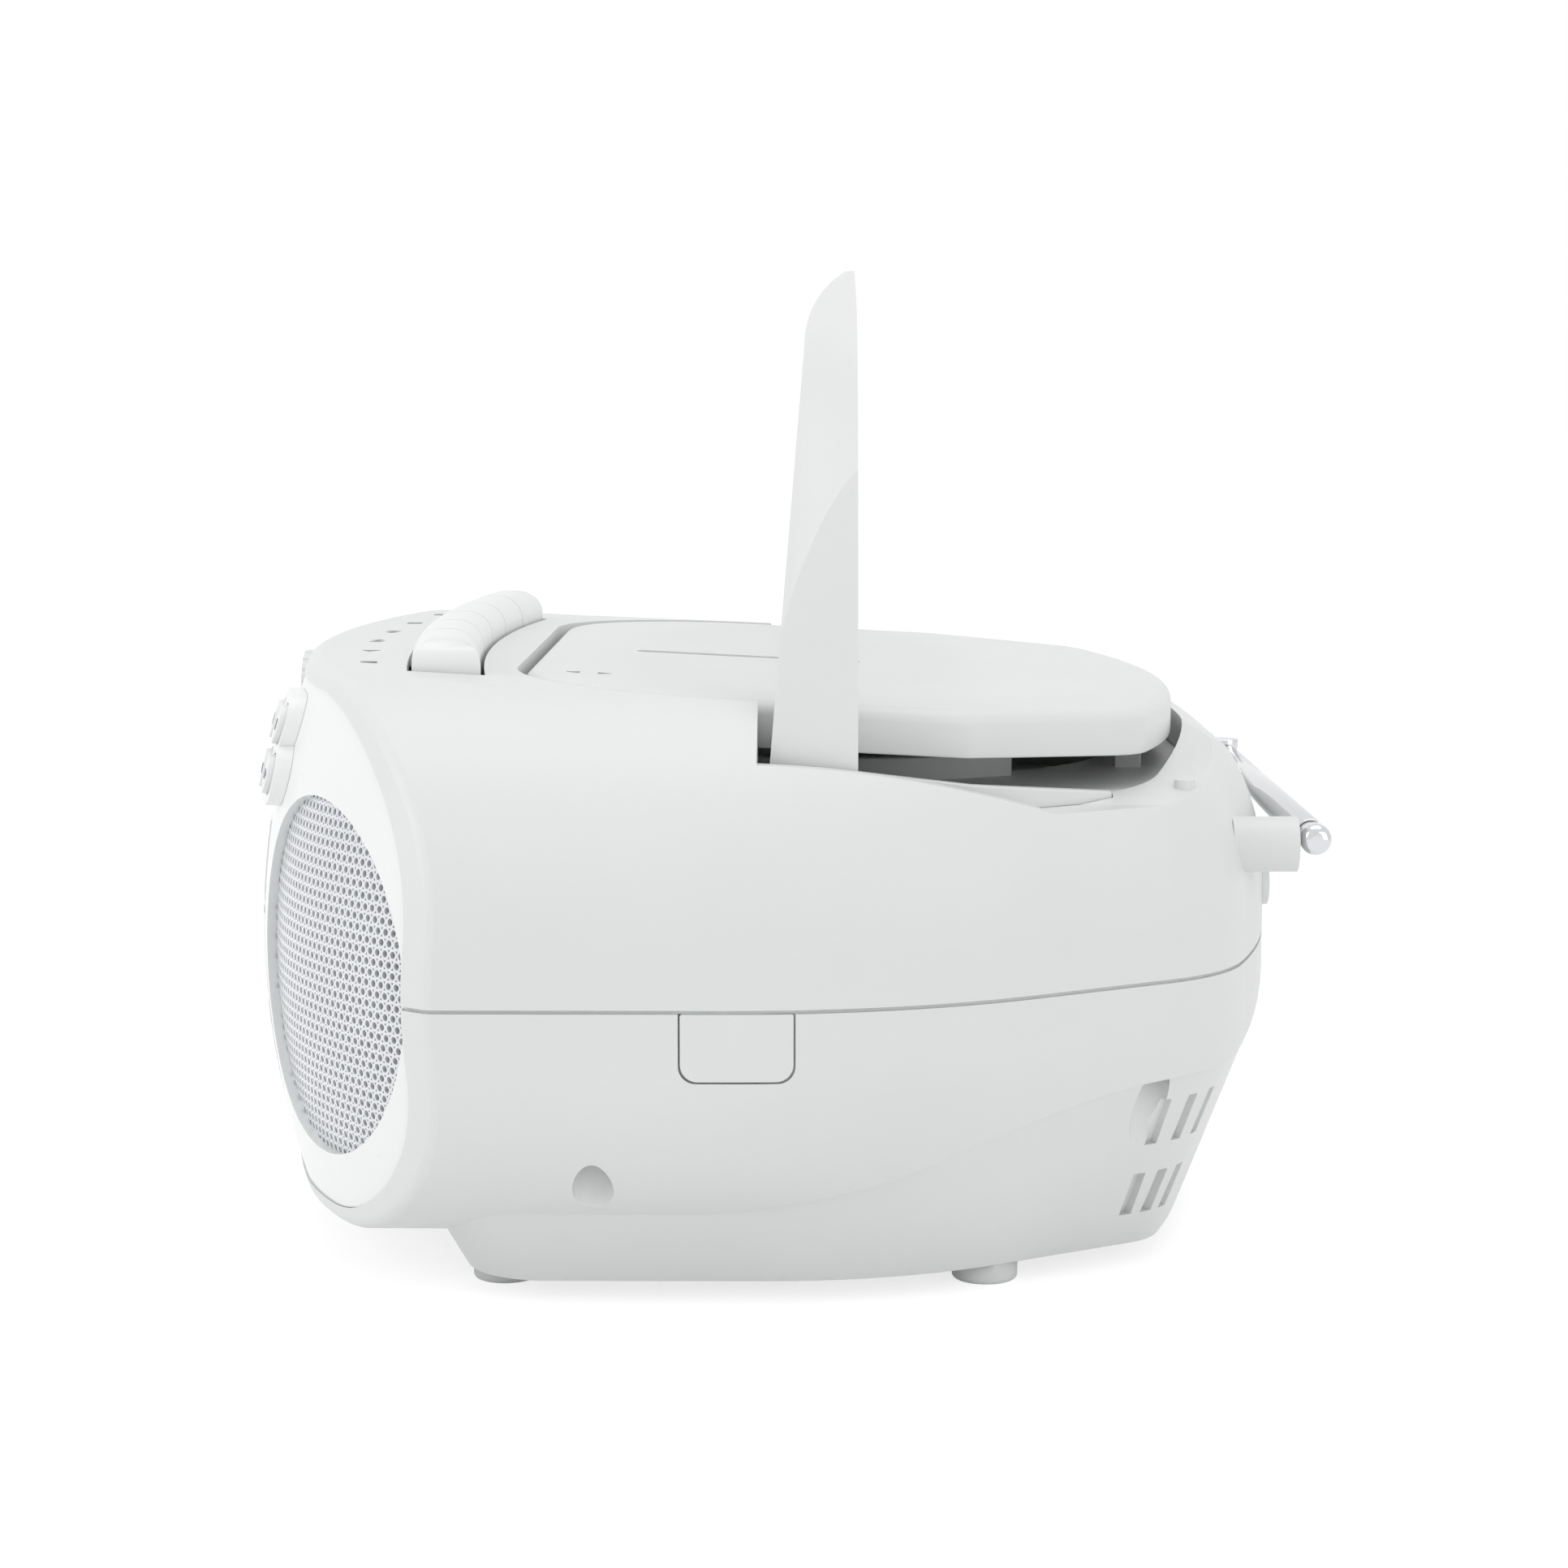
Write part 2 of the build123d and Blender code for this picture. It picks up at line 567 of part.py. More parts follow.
def lower_cabinet():
    """Lower shell: flanks, belly, battery box, screw wells and vents."""
    z1 = SEAM_Z - SEAM_GAP / 2
    below_seam = block(-FAR, FAR, -FAR, FAR, 0, z1)
    belly = belly_solid(0) & front_solid(BELLY_FRONT_INSET)
    outer = (rimmed_block() & above_crease(0) & below_seam) + belly
    keel = block(-FAR, FAR, -FAR, FAR, KEEL_Z + WALL, z1)
    hollow = (cabinet_cavity() + panel_mouth()) & above_crease(WALL) & below_seam & keel
    hollow += belly_solid(WALL) - block(-FAR, FAR, LEDGE_Y, FAR, BELLY_TOP_Z - WALL, FAR)
    shell = outer - hollow
    for x, y, seat_z in SCREW_PLACES:
        boss = Pos(x, y, 47) * Cylinder(SCREW_BOSS_R, 60)
        shell += boss & outer & block(-FAR, FAR, -FAR, FAR, 17, z1)
        shell -= rod((x, y, 0), (0, 0, 1), SCREW_WELL_R, seat_z)
        shell -= Pos(x, y, 50) * Cylinder(SCREW_SHANK_R + 0.2, 60)
    box = block(-BATTERY_X - 2, BATTERY_X + 2, -BATTERY_Y - 2, BATTERY_Y + 2, BASE_Z, BATTERY_TOP_Z + 2)
    room = block(-BATTERY_X, BATTERY_X, -BATTERY_Y, BATTERY_Y, 0, BATTERY_TOP_Z)
    shell = shell + box - room
    shell -= rod((-FAR / 2, BATTERY_AXIS_Y, BATTERY_AXIS_Z), (1, 0, 0), 1 + RUNNING, FAR) & box
    shell -= rear_vents() - belly_solid(VENT_DEPTH)
    return shell - side_cover_block(0.4)


def rear_vents():
    """Slots round the rear corners and along the back, in two rows."""
    corner = plan_centres(FLANK_RUN)[1]
    slots = []
    for z0, z1 in VENT_ROWS:
        for turn in VENT_TURNS:
            slot = Pos(*corner, 0) * Rot(0, 0, turn) * block(5, 60, -VENT_WIDTH / 2, VENT_WIDTH / 2, z0, z1)
            slots += [slot, mirrored(slot)]
        for index in range(VENT_COUNT):
            x = (index - (VENT_COUNT - 1) / 2) * VENT_PITCH
            slots.append(block(x - VENT_WIDTH / 2, x + VENT_WIDTH / 2, 60, 130, z0, z1))
    return Compound(slots)


def side_cover_block(grow):
    """Blank cover let into the right flank below the seam, grown by a margin."""
    face = Plane.YZ * (Pos(SIDE_COVER_Y, SEAM_Z) * RectangleRounded(22.5 + 2 * grow, 28 + 2 * grow, 3.5))
    slab = extrude(face, amount=FAR, dir=(1, 0, 0)) & cabinet_block(0)
    return slab & block(HALF_WIDTH - 1.6 - grow, FAR, -FAR, FAR, 0, SEAM_Z - SEAM_GAP / 2)


def grille_frame():
    """Point on the front's surface at the middle of the right grille, and the way it faces."""
    tilt = asin((GRILLE_X - FRONT_CORNER_X) / FRONT_CORNER_R)
    facing = (sin(tilt), -cos(tilt), 0)
    apex = (GRILLE_X, FRONT_CORNER_Y - FRONT_CORNER_R * cos(tilt), GRILLE_Z)
    return Vector(apex), Vector(facing)


def grille_rod(radius, ahead, length):
    """Cylinder along the right loudspeaker's axis, begun some way ahead of the front."""
    apex, facing = grille_frame()
    return rod(apex + facing * ahead, facing * -1, radius, length)


def shell_layer(outer_inset, inner_inset):
    """Sheet that follows the front's bulge between two depths."""
    return front_solid(outer_inset) - front_solid(inner_inset)


def front_panel():
    """Front panel with its grille openings, cassette opening, display and control holes."""
    mouth = plan_solid(LIP + 0.15, 0, 150) & tunnel_solid(LIP + 0.15)
    panel = shell_layer(PANEL_SINK, PANEL_THICKNESS) & mouth
    border = mouth - tunnel_solid(LIP + 2.5)
    flange_room = plan_solid(WALL + 0.4, 0, 150) & tunnel_solid(WALL + 0.4)
    flange = flange_room - tunnel_solid(LIP + 2.5)
    panel += shell_layer(PANEL_THICKNESS - 0.1, PANEL_THICKNESS + 3.0) & border
    panel += shell_layer(PANEL_THICKNESS + 1.4, PANEL_THICKNESS + 3.0) & flange
    seat = grille_rod(GRILLE_R + 1.8, 0, 40) & front_solid(PANEL_THICKNESS)
    opening = grille_rod(GRILLE_R, 10, 50)
    for tool in (seat, opening):
        panel = panel - tool - mirrored(tool)
    half = DOOR_HALF_WIDTH + DOOR_GAP
    panel -= block(-half, half, -140, -80, DOOR_LOW_Z - DOOR_LOW_GAP, DOOR_HIGH_Z + DOOR_GAP)
    lug = block(half + 1.5, half + 5.5, -116, DOOR_AXIS_Y + 4, DOOR_AXIS_Z - 4, DOOR_AXIS_Z + 4) & front_solid(1.5)
    lug -= rod((half, DOOR_AXIS_Y, DOOR_AXIS_Z), (1, 0, 0), DOOR_PIN_R + RUNNING, 10)
    panel += lug + mirrored(lug)
    bore = rod((half - 1, DOOR_AXIS_Y, DOOR_AXIS_Z), (1, 0, 0), DOOR_PIN_R + RUNNING, 9)
    panel = panel - bore - mirrored(bore)
    panel -= display_block(0.2)
    for x, z in BUTTON_PLACES:
        panel -= rod((x, -140, z), (0, 1, 0), BUTTON_R + 0.4, 60)
    for x, z in KNOB_PLACES:
        panel -= rod((x, -140, z), (0, 1, 0), KNOB_SHAFT_R + 0.6, 60)
    for x, z in SLIDER_PLACES:
        panel -= block(x - SLIDER_TRAVEL / 2 - 3.2, x + SLIDER_TRAVEL / 2 + 3.2, -140, -90, z - 1.7, z + 1.7)
    return panel


def display_block(grow):
    """Room of the display window in the front panel, grown by a margin."""
    return block(-24 - grow, 24 + grow, -140, -90, 98 - grow, 112 + grow)


def grille():
    """Domed grille sheet clamped behind the right opening."""
    front = PANEL_THICKNESS + 0.1
    return shell_layer(front, front + GRILLE_SHEET) & grille_rod(GRILLE_R + 1.4, 10, 60)


def baffle():
    """Ring that stands on the grille's back and carries the right loudspeaker."""
    apex, facing = grille_frame()
    wall = ring(apex, facing * -1, BAFFLE_R, BAFFLE_R - 1.8, SPEAKER_SETBACK)
    plate = ring(apex + facing * -(SPEAKER_SETBACK - 2), facing * -1, BAFFLE_R, CONE_RIM_R + 0.6, 2)
    return (wall + plate) & front_solid(PANEL_THICKNESS + 0.2 + GRILLE_SHEET)


def turned(points):
    """Solid of revolution on the right loudspeaker's axis from (radius, depth) points."""
    apex, facing = grille_frame()
    plane = Plane(origin=apex + facing * -SPEAKER_SETBACK, x_dir=(0, 0, 1), z_dir=facing.cross(Vector(0, 0, 1)))
    face = plane * make_face(Polyline(*points, close=True))
    return revolve(face, Axis(plane.origin, facing), 360)


def speaker_frame():
    """Basket and magnet of the right loudspeaker."""
    return turned([(30.9, 0), (38, 0), (38, 1.4), (33, 1.4), (20, 19.5), (24, 19.5), (24, 33), (0, 33),
                   (0, 20.8), (18.5, 20.8), (30.9, 1.4)])


def speaker_cone():
    """Cone, surround and dust cap of the right loudspeaker."""
    return turned([(CONE_RIM_R, 0), (CONE_RIM_R, -0.8), (32, -1.8), (30, -0.8), (12.3, 13.2), (8, 10.6), (0, 9.2),
                   (0, 10), (7.6, 11.5), (12.3, 14.4), (30.4, 0)])


def cassette_door():
    """Door of the cassette compartment with its side rails and hinge stubs."""
    half = DOOR_HALF_WIDTH
    face = block(-half, half, -140, -80, DOOR_LOW_Z, DOOR_HIGH_Z)
    door = shell_layer(PANEL_SINK - 0.3, PANEL_THICKNESS) & face
    rail = block(half - 2.2, half - 0.4, -118, RAIL_REAR_Y, DOOR_LOW_Z + 4, DOOR_HIGH_Z - 4) & front_solid(1.0)
    shelf = block(-half + 0.4, half - 0.4, -118, RAIL_REAR_Y, DOOR_LOW_Z + 4, DOOR_LOW_Z + 6) & front_solid(1.0)
    stub = rod((half - 2, DOOR_AXIS_Y, DOOR_AXIS_Z), (1, 0, 0), DOOR_PIN_R, 7.5)
    ear = block(half - 2.2, half - 0.4, DOOR_AXIS_Y - 2.2, DOOR_AXIS_Y + 2.2, DOOR_LOW_Z + 0.8, DOOR_LOW_Z + 6)
    door += rail + mirrored(rail) + shelf + stub + mirrored(stub) + ear + mirrored(ear)
    return door - window_block(0)


def window_block(shrink):
    """Room of the cassette window in the door, drawn in by a margin."""
    pane = Plane.XZ * (Pos(0, 62) * RectangleRounded(70 - 2 * shrink, 30 - 2 * shrink, 5))
    return extrude(pane, amount=160)


def cassette_window():
    """Clear window of the cassette door."""
    return shell_layer(PANEL_SINK + 0.2, PANEL_THICKNESS - 0.2) & window_block(0.05)


def lid_top_z(y):
    """Height of the lid's top at a depth."""
    return LID_FRONT_Z + LID_SLOPE * (y - LID_FRONT_Y)


def lid_tilt(height):
    """Everything under the lid's sloping top, lowered by a height."""
    ends = (-80.0, 130.0)
    top = [(y, lid_top_z(y) - height) for y in ends]
    return side_slab([(ends[0], 90), top[0], top[1], (ends[1], 90)])


def cd_lid():
    """Disc lid: sloping sheet with a skirt and two hinge lugs."""
    solid = lid_plan(0, 90, 140) & lid_tilt(0)
    solid = fillet(solid.faces().sort_by(Axis.Z)[-1].edges(), LID_EDGE_R)
    solid -= lid_tilt(LID_SHEET + LID_SKIRT)
    hollow = lid_plan(-LID_SHEET, 80, 140) & lid_tilt(LID_SHEET)
    solid -= hollow
    length = LID_LUG_X[1] - LID_LUG_X[0]
    under = lid_top_z(LID_AXIS_Y) - LID_SHEET / 2
    lug = block(*LID_LUG_X, LID_AXIS_Y - LID_LUG_R, LID_AXIS_Y + LID_LUG_R, LID_AXIS_Z, under)
    lug += rod((LID_LUG_X[0], LID_AXIS_Y, LID_AXIS_Z), (1, 0, 0), LID_LUG_R, length)
    lug -= rod((LID_LUG_X[0] - 1, LID_AXIS_Y, LID_AXIS_Z), (1, 0, 0), LID_PIN_R + RUNNING, length + 2)
    groove_length, groove_width, groove_depth = LID_GROOVE
    outline = Pos(0, LID_GROOVE_Y, 118) * SlotCenterToCenter(groove_length, groove_width, rotation=90)
    groove = extrude(outline, amount=20) - lid_tilt(groove_depth)
    return solid + lug + mirrored(lug) - groove


def handle():
    """Carrying handle, modelled lying on the deck and then raised."""
    y, z = HANDLE_PIVOT_Y, HANDLE_PIVOT_Z
    flush = swept_edge(HANDLE_INSET, HANDLE_RUN, HANDLE_CREST_Z, HANDLE_CREST_R)
    inner = block(-HANDLE_INNER_X, HANDLE_INNER_X, -FAR, FAR, 0, 160) & plan_solid(HANDLE_WIDTH, 0, 160)
    x = -FAR
    low_z = DECK_Z + 0.6
    top = Polyline((x, 14, 120.6), (x, 100, 113.6))
    heel = ThreePointArc((x, 14, low_z), (x, y - HANDLE_HEEL_R, z), (x, 14, 120.6))
    tail = ThreePointArc((x, 100, 113.6), (x, 111, 110.5), (x, 117, 104.5))
    under = Polyline((x, 117, 104.5), (x, 117, low_z), (x, 14, low_z))
    profile = extrude(make_face([heel, top, tail, under]), amount=2 * FAR, dir=(1, 0, 0))
    arch = (flush & profile) - inner
    facet_start, facet_end = HANDLE_FACET[0], HANDLE_FACET[2]
    outside = Polyline(facet_end, (FAR, facet_end[1]), (FAR, facet_start[1]), facet_start)
    relief = extrude(make_face([ThreePointArc(*HANDLE_FACET), outside]), amount=FAR)
    arch = arch - relief - mirrored(relief)
    arch -= rod((-HANDLE_BORE_X, y, z), (1, 0, 0), HANDLE_PIN_R + RUNNING, 2 * HANDLE_BORE_X)
    return arch.rotate(Axis((0, y, z), (1, 0, 0)), 90)


def hinge_pins():
    """Pivot pins of the carrying handle and of the disc lid."""
    start = (HANDLE_LUG_X[0] + 0.5, HANDLE_PIVOT_Y, HANDLE_PIVOT_Z)
    pins = rod(start, (1, 0, 0), HANDLE_PIN_R, HANDLE_PIN_LENGTH)
    pins += rod((LID_POST_X[0], LID_AXIS_Y, LID_AXIS_Z), (1, 0, 0), LID_PIN_R, LID_LUG_X[1] - LID_POST_X[0])
    return pins + mirrored(pins)


def tape_key(index):
    """Push key of the cassette deck, bent to the row's arc and rounded along its top and outer end."""
    axis, inner, outer, start, end = key_arc(index, 0)
    cap = arc_block(axis, inner, outer, start, end, KEY_FOOT_Z, KEY_TOP_Z)
    top = cap.edges().filter_by(lambda edge: edge.center().Z > KEY_TOP_Z - 0.1)
    by_side = top.sort_by(Axis.X)
    ends = {0: by_side[-1:], KEY_COUNT - 1: by_side[:1]}.get(index, [by_side[0], by_side[-1]])
    cap = fillet([edge for edge in top if edge not in ends], KEY_ROUND)
    length, depth, height = KEY_STEM
    place = polar(axis, KEY_ROW_R, (start + end) / 2)
    return cap + Pos(*place, KEY_FOOT_Z - height / 2) * Box(length, depth, height)


def control_pod():
    """Two-lobed raised pad that carries the disc buttons."""
    lobes = Sketch() + [Pos(x, z) * RectangleRounded(*POD_SIZE, POD_SIZE[1] / 2 - 0.2) for x, z in POD_LOBES]
    pad = shell_layer(-POD_RISE, PANEL_SINK - 0.05) & extrude(Plane.XZ * lobes, amount=160)
    for x, z in BUTTON_PLACES:
        pad -= rod((x, -140, z), (0, 1, 0), BUTTON_R + 0.4, 60)
    return pad


def disc_button(place):
    """Push button that follows the pod's curved face."""
    return shell_layer(-BUTTON_RISE, 4) & rod((place[0], -140, place[1]), (0, 1, 0), BUTTON_R, 60)


def rotary_knob(place, back_y):
    """Fluted knob with its shaft."""
    plane = Plane(origin=(place[0], back_y, place[1]), z_dir=(0, -1, 0))
    flutes = PolarLocations(KNOB_R + 0.5, 18) * Circle(1.0)
    cap = extrude(plane * (Circle(KNOB_R) - flutes), amount=KNOB_HEIGHT)
    return cap + rod((place[0], back_y, place[1]), (0, 1, 0), KNOB_SHAFT_R, BOARD_Y - CLEAR - back_y)


def slider_cap(place):
    """Cap of a slide switch."""
    x, z = place
    return block(x - 2.8, x + 2.8, -112.5, -101, z - 1.3, z + 1.3)


def display_window():
    """Clear pane of the display."""
    return shell_layer(PANEL_SINK + 0.2, PANEL_THICKNESS - 0.2) & display_block(-0.05)


def control_board():
    """Upright circuit board behind the front controls."""
    return block(-74, 78, BOARD_Y, BOARD_Y + 1.6, 97.5, 116)


def aerial_turret():
    """Swivelling foot of the aerial with its two ears and hinge pin."""
    x, y, z = AERIAL_PIVOT_X, AERIAL_Y, AERIAL_Z
    turret = rod((x, TURRET_Y + CLEAR, z), (0, 1, 0), TURRET_R, 3.1)
    for low in (z + 2.1, z - 4.6):
        ear = block(x - 3.4, x + 3.4, TURRET_Y + 2, y, low, low + 2.5)
        turret += ear + rod((x, y, low), (0, 0, 1), 3.4, 2.5)
    return turret + rod((x, y, z - 4.6), (0, 0, 1), AERIAL_PIN_R, 9.2)


def aerial_section(index):
    """One section of the telescopic rod, stowed along the back."""
    start, end, radius = AERIAL_STARTS[index], AERIAL_ENDS[index], AERIAL_RADII[index]
    solid = rod((start, AERIAL_Y, AERIAL_Z), (1, 0, 0), radius, end - start)
    if index + 1 < len(AERIAL_RADII):
        bore_start = AERIAL_STARTS[index + 1] - 1
        bore = AERIAL_RADII[index + 1] + RUNNING
        solid -= rod((bore_start, AERIAL_Y, AERIAL_Z), (1, 0, 0), bore, end - bore_start + 1)
    else:
        cap = rod((end, AERIAL_Y, AERIAL_Z), (1, 0, 0), AERIAL_RADII[0], AERIAL_CAP)
        solid += fillet(cap.edges().group_by(Axis.X)[-1], 2.2)
    if index == 0:
        neck = block(AERIAL_PIVOT_X, start + 1, AERIAL_Y - 2, AERIAL_Y + 2, AERIAL_Z - 1.9, AERIAL_Z + 1.9)
        neck += rod((AERIAL_PIVOT_X, AERIAL_Y, AERIAL_Z - 1.9), (0, 0, 1), 2.9, 3.8)
        solid += neck
        solid -= rod((AERIAL_PIVOT_X, AERIAL_Y, 80), (0, 0, 1), AERIAL_PIN_R + RUNNING, 30)
    return solid


def feet():
    """Four round feet."""
    places = [(x, y) for x in (-FOOT_X, FOOT_X) for y in (FOOT_FRONT_Y, FOOT_REAR_Y)]
    one = Pos(0, 0, BASE_Z / 2) * Cylinder(FOOT_R, BASE_Z)
    one = fillet(one.edges().group_by(Axis.Z)[0], 1.0)
    return Compound([Pos(x, y, 0) * one for x, y in places])


def battery_door():
    """Cover of the battery box with its hinge stubs."""
    plate = block(-BATTERY_X + 0.4, BATTERY_X - 0.4, BATTERY_AXIS_Y - 1.4, BATTERY_Y - 0.6, BASE_Z, BASE_Z + 2.4)
    return plate + rod((-BATTERY_X - 1.5, BATTERY_AXIS_Y, BATTERY_AXIS_Z), (1, 0, 0), 1, 2 * BATTERY_X + 3)


def battery_contacts():
    """Contact plates at both ends of the battery box."""
    plate = block(BATTERY_X - 0.7, BATTERY_X - 0.1, -30, 30, 11, 34)
    for y in (-20, 0, 20):
        plate += rod((BATTERY_X - 0.7, y, 22), (-1, 0, 0), 3, 1.6)
    return plate + mirrored(plate)


def mains_inlet():
    """Two-pin mains inlet."""
    body = rear_sockets(0, 0)[0]
    mouth = Plane(origin=(INLET_X, INLET_FACE_Y, 77), x_dir=(1, 0, 0), z_dir=(0, 1, 0))
    body -= extrude(mouth * SlotCenterToCenter(8.6, 7.6), amount=-12)
    for x in (INLET_X - 4.3, INLET_X + 4.3):
        body += rod((x, 100, 77), (0, 1, 0), 1.2, 10)
    return body


def headphone_socket():
    """Round headphone socket."""
    return rear_sockets(0, 0)[1] - rod((JACK_X, 102, 77), (0, 1, 0), 1.8, 20)


def main_board():
    """Main circuit board with its larger components."""
    board = block(-64, 64, -40, 40, 50, 51.6)
    board += block(-50, -20, 20, 26, 51.6, 70)
    board += block(10, 34, -30, -12, 51.6, 60)
    for x, y, r, h in ((-40, -20, 8, 22), (-18, -22, 6.5, 16), (44, 10, 5, 12), (52, -24, 5, 12)):
        board += Pos(x, y, 51.6 + h / 2) * Cylinder(r, h)
    return board


def power_transformer():
    """Mains transformer: laminated core, winding and mounting strap."""
    core = block(-76, -40, 44, 72, 10, 42) + block(-80, -36, 50, 66, 7.2, 10)
    return core + block(-70, -46, 40, 76, 16, 36)


def cd_deck():
    """Carrier of the disc drive, hung on posts under the well."""
    deck = block(-36, 64, DISC_Y - 30, DISC_Y + 30, 82, 85)
    for x in (-31, 59):
        for y in (DISC_Y - 25, DISC_Y + 25):
            deck += rod((x, y, 84), (0, 0, 1), 3, WELL_FLOOR_Z - DECK_THICKNESS - 84.1)
    for y in (DISC_Y - 6, DISC_Y + 6):
        deck += block(14, 58, y - 1.2, y + 1.2, 85, 85.8)
    return deck - Pos(0, DISC_Y, 83) * Cylinder(2, 20)


def cd_turntable():
    """Turntable with its centring hub and spindle."""
    z = WELL_FLOOR_Z + 0.8
    table = Pos(0, DISC_Y, z + 1) * Cylinder(TURNTABLE_R - 1, 2)
    hub = Pos(0, DISC_Y, z + 3.5) * Cylinder(7.4, 3)
    hub = chamfer(hub.edges().group_by(Axis.Z)[-1], 1.2)
    return table + hub + Pos(0, DISC_Y, (80 + z) / 2) * Cylinder(1, z - 80)


def spindle_motor():
    """Flat motor under the turntable."""
    return Pos(0, DISC_Y, 89.4) * Cylinder(11, 8.4) - Pos(0, DISC_Y, 89) * Cylinder(1 + RUNNING, 20)


def cd_pickup():
    """Optical pickup sled with its lens."""
    sled = block(15, 34, DISC_Y - 8, DISC_Y + 8, 86, 93.4)
    return sled + Pos(25, DISC_Y, 94) * Cylinder(3.2, 1.6)


def cassette_chassis():
    """Plate behind the cassette with side flanges that meet the front panel."""
    plate = block(-57.2, 57.2, -94, -92, 30, 96)
    flange = block(55.2, 57.2, -120, -92, 34, 92) & front_solid(PANEL_THICKNESS + 0.3)
    plate += flange + mirrored(flange)
    for x in (-REEL_X, REEL_X):
        plate -= rod((x, -100, REEL_Z), (0, 1, 0), 1.5 + RUNNING, 20)
    return plate - rod((CAPSTAN_X, -100, CAPSTAN_Z), (0, 1, 0), 1.2 + RUNNING, 20)


def reel_spindle(x):
    """Drive spindle of one reel with three fins."""
    spindle = rod((x, -96.4, REEL_Z), (0, 1, 0), 9, 1.8) + rod((x, -104, REEL_Z), (0, 1, 0), 3, 8)
    for index in range(3):
        fin = Pos(x, -100, REEL_Z) * Rot(0, 120 * index, 0) * block(2, 4.2, -3, 3, -0.6, 0.6)
        spindle += fin
    return spindle + rod((x, -95, REEL_Z), (0, 1, 0), 1.5, 4)


def tape_head():
    """Recording head on its plate."""
    return block(-7, 7, -102, -95.4, 83, 91) + block(-18, 18, -95.6, -94.1, 80, 94)


def flywheel():
    """Flywheel with the capstan on its axis."""
    wheel = rod((CAPSTAN_X, -90, CAPSTAN_Z), (0, 1, 0), FLYWHEEL_R, 4)
    return wheel + rod((CAPSTAN_X, -103, CAPSTAN_Z), (0, 1, 0), 1.2, 14)


def cassette_motor():
    """Motor of the cassette deck on its bracket."""
    can = rod((MOTOR_X, -83, MOTOR_Z), (0, 1, 0), 15, 21)
    can -= rod((MOTOR_X, -100, MOTOR_Z), (0, 1, 0), 1 + RUNNING, 30)
    arm = block(MOTOR_X - 26, MOTOR_X - 18, -91.9, -80, MOTOR_Z - 5, MOTOR_Z + 5)
    return can + arm + block(MOTOR_X - 26, MOTOR_X - 10, -82.5, -80.5, MOTOR_Z - 5, MOTOR_Z + 5)


def motor_pulley():
    """Pulley and shaft of the cassette motor."""
    return rod((MOTOR_X, -90, MOTOR_Z), (0, 1, 0), PULLEY_R, 5) + rod((MOTOR_X, -86, MOTOR_Z), (0, 1, 0), 1, 10)


def drive_belt():
    """Flat belt from the motor pulley to the flywheel."""
    def loop(grow):
        """Outline round both wheels."""
        big = Pos(CAPSTAN_X, CAPSTAN_Z) * CenterArc((0, 0), FLYWHEEL_R + grow, 0, 360)
        small = Pos(MOTOR_X, MOTOR_Z) * CenterArc((0, 0), PULLEY_R + grow, 0, 360)
        return make_hull([big, small])

    outline = loop(1.1) - loop(RUNNING)
    return Pos(0, -87, 0) * extrude(Plane.XZ * outline, amount=2)


def cabinet_screws():
    """Screws that hold the two cabinets together."""
    screws = []
    for x, y, seat_z in SCREW_PLACES:
        head = Pos(x, y, seat_z - 1.2) * Cylinder(2.9, 2.4)
        screws.append(head + rod((x, y, seat_z), (0, 0, 1), SCREW_SHANK_R, SCREW_END_Z - seat_z))
    return Compound(screws)


def lcd_module():
    """Display module on the control board."""
    return block(-23, 23, -104.5, BOARD_Y, 98.5, 111.5)


def all_nodes():
    """Every piece of the radio by name."""
    nodes = {make.__name__: make() for make in (
        upper_cabinet, lower_cabinet, disc_tray, front_panel, cassette_door, cassette_window, cd_lid, handle,
        hinge_pins, control_pod, display_window, lcd_module, control_board, aerial_turret, feet, battery_door,
        battery_contacts, mains_inlet, headphone_socket, main_board, power_transformer, cd_deck, cd_turntable,
        spindle_motor, cd_pickup, cassette_chassis, tape_head, flywheel, cassette_motor, motor_pulley, drive_belt,
        cabinet_screws)}
    nodes["side_cover"] = side_cover_block(0)
    ring_right = baffle()
    nodes["speaker_baffles"] = Compound([ring_right, mirrored(ring_right)])
    for make in (grille, speaker_frame, speaker_cone):
        right = make()
        nodes[make.__name__ + "_right"] = right
        nodes[make.__name__ + "_left"] = mirrored(right)
    for index, name in enumerate(KEY_NAMES):
        nodes["key_" + name] = tape_key(index)
    for name, place in zip(BUTTON_NAMES, BUTTON_PLACES):
        nodes[name] = disc_button(place)
    for name, place, back_y in zip(KNOB_NAMES, KNOB_PLACES, KNOB_BACK_Y):
        nodes[name] = rotary_knob(place, back_y)
    for name, place in zip(SLIDER_NAMES, SLIDER_PLACES):
        nodes[name] = slider_cap(place)
    for index, name in enumerate(AERIAL_NAMES):
        nodes[name] = aerial_section(index)
    nodes["reel_spindle_right"] = reel_spindle(REEL_X)
    nodes["reel_spindle_left"] = reel_spindle(-REEL_X)
    return nodes


os.makedirs("parts", exist_ok=True)
for node_name, node_shape in all_nodes().items():
    export_step(Pos(0, DEPTH_SHIFT, 0) * node_shape, "parts/" + node_name + ".step")
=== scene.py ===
import json
import logging
import math
from dataclasses import dataclass, field
from enum import Enum
from typing import Iterable

import bmesh
import bpy
from mathutils import Matrix, Vector

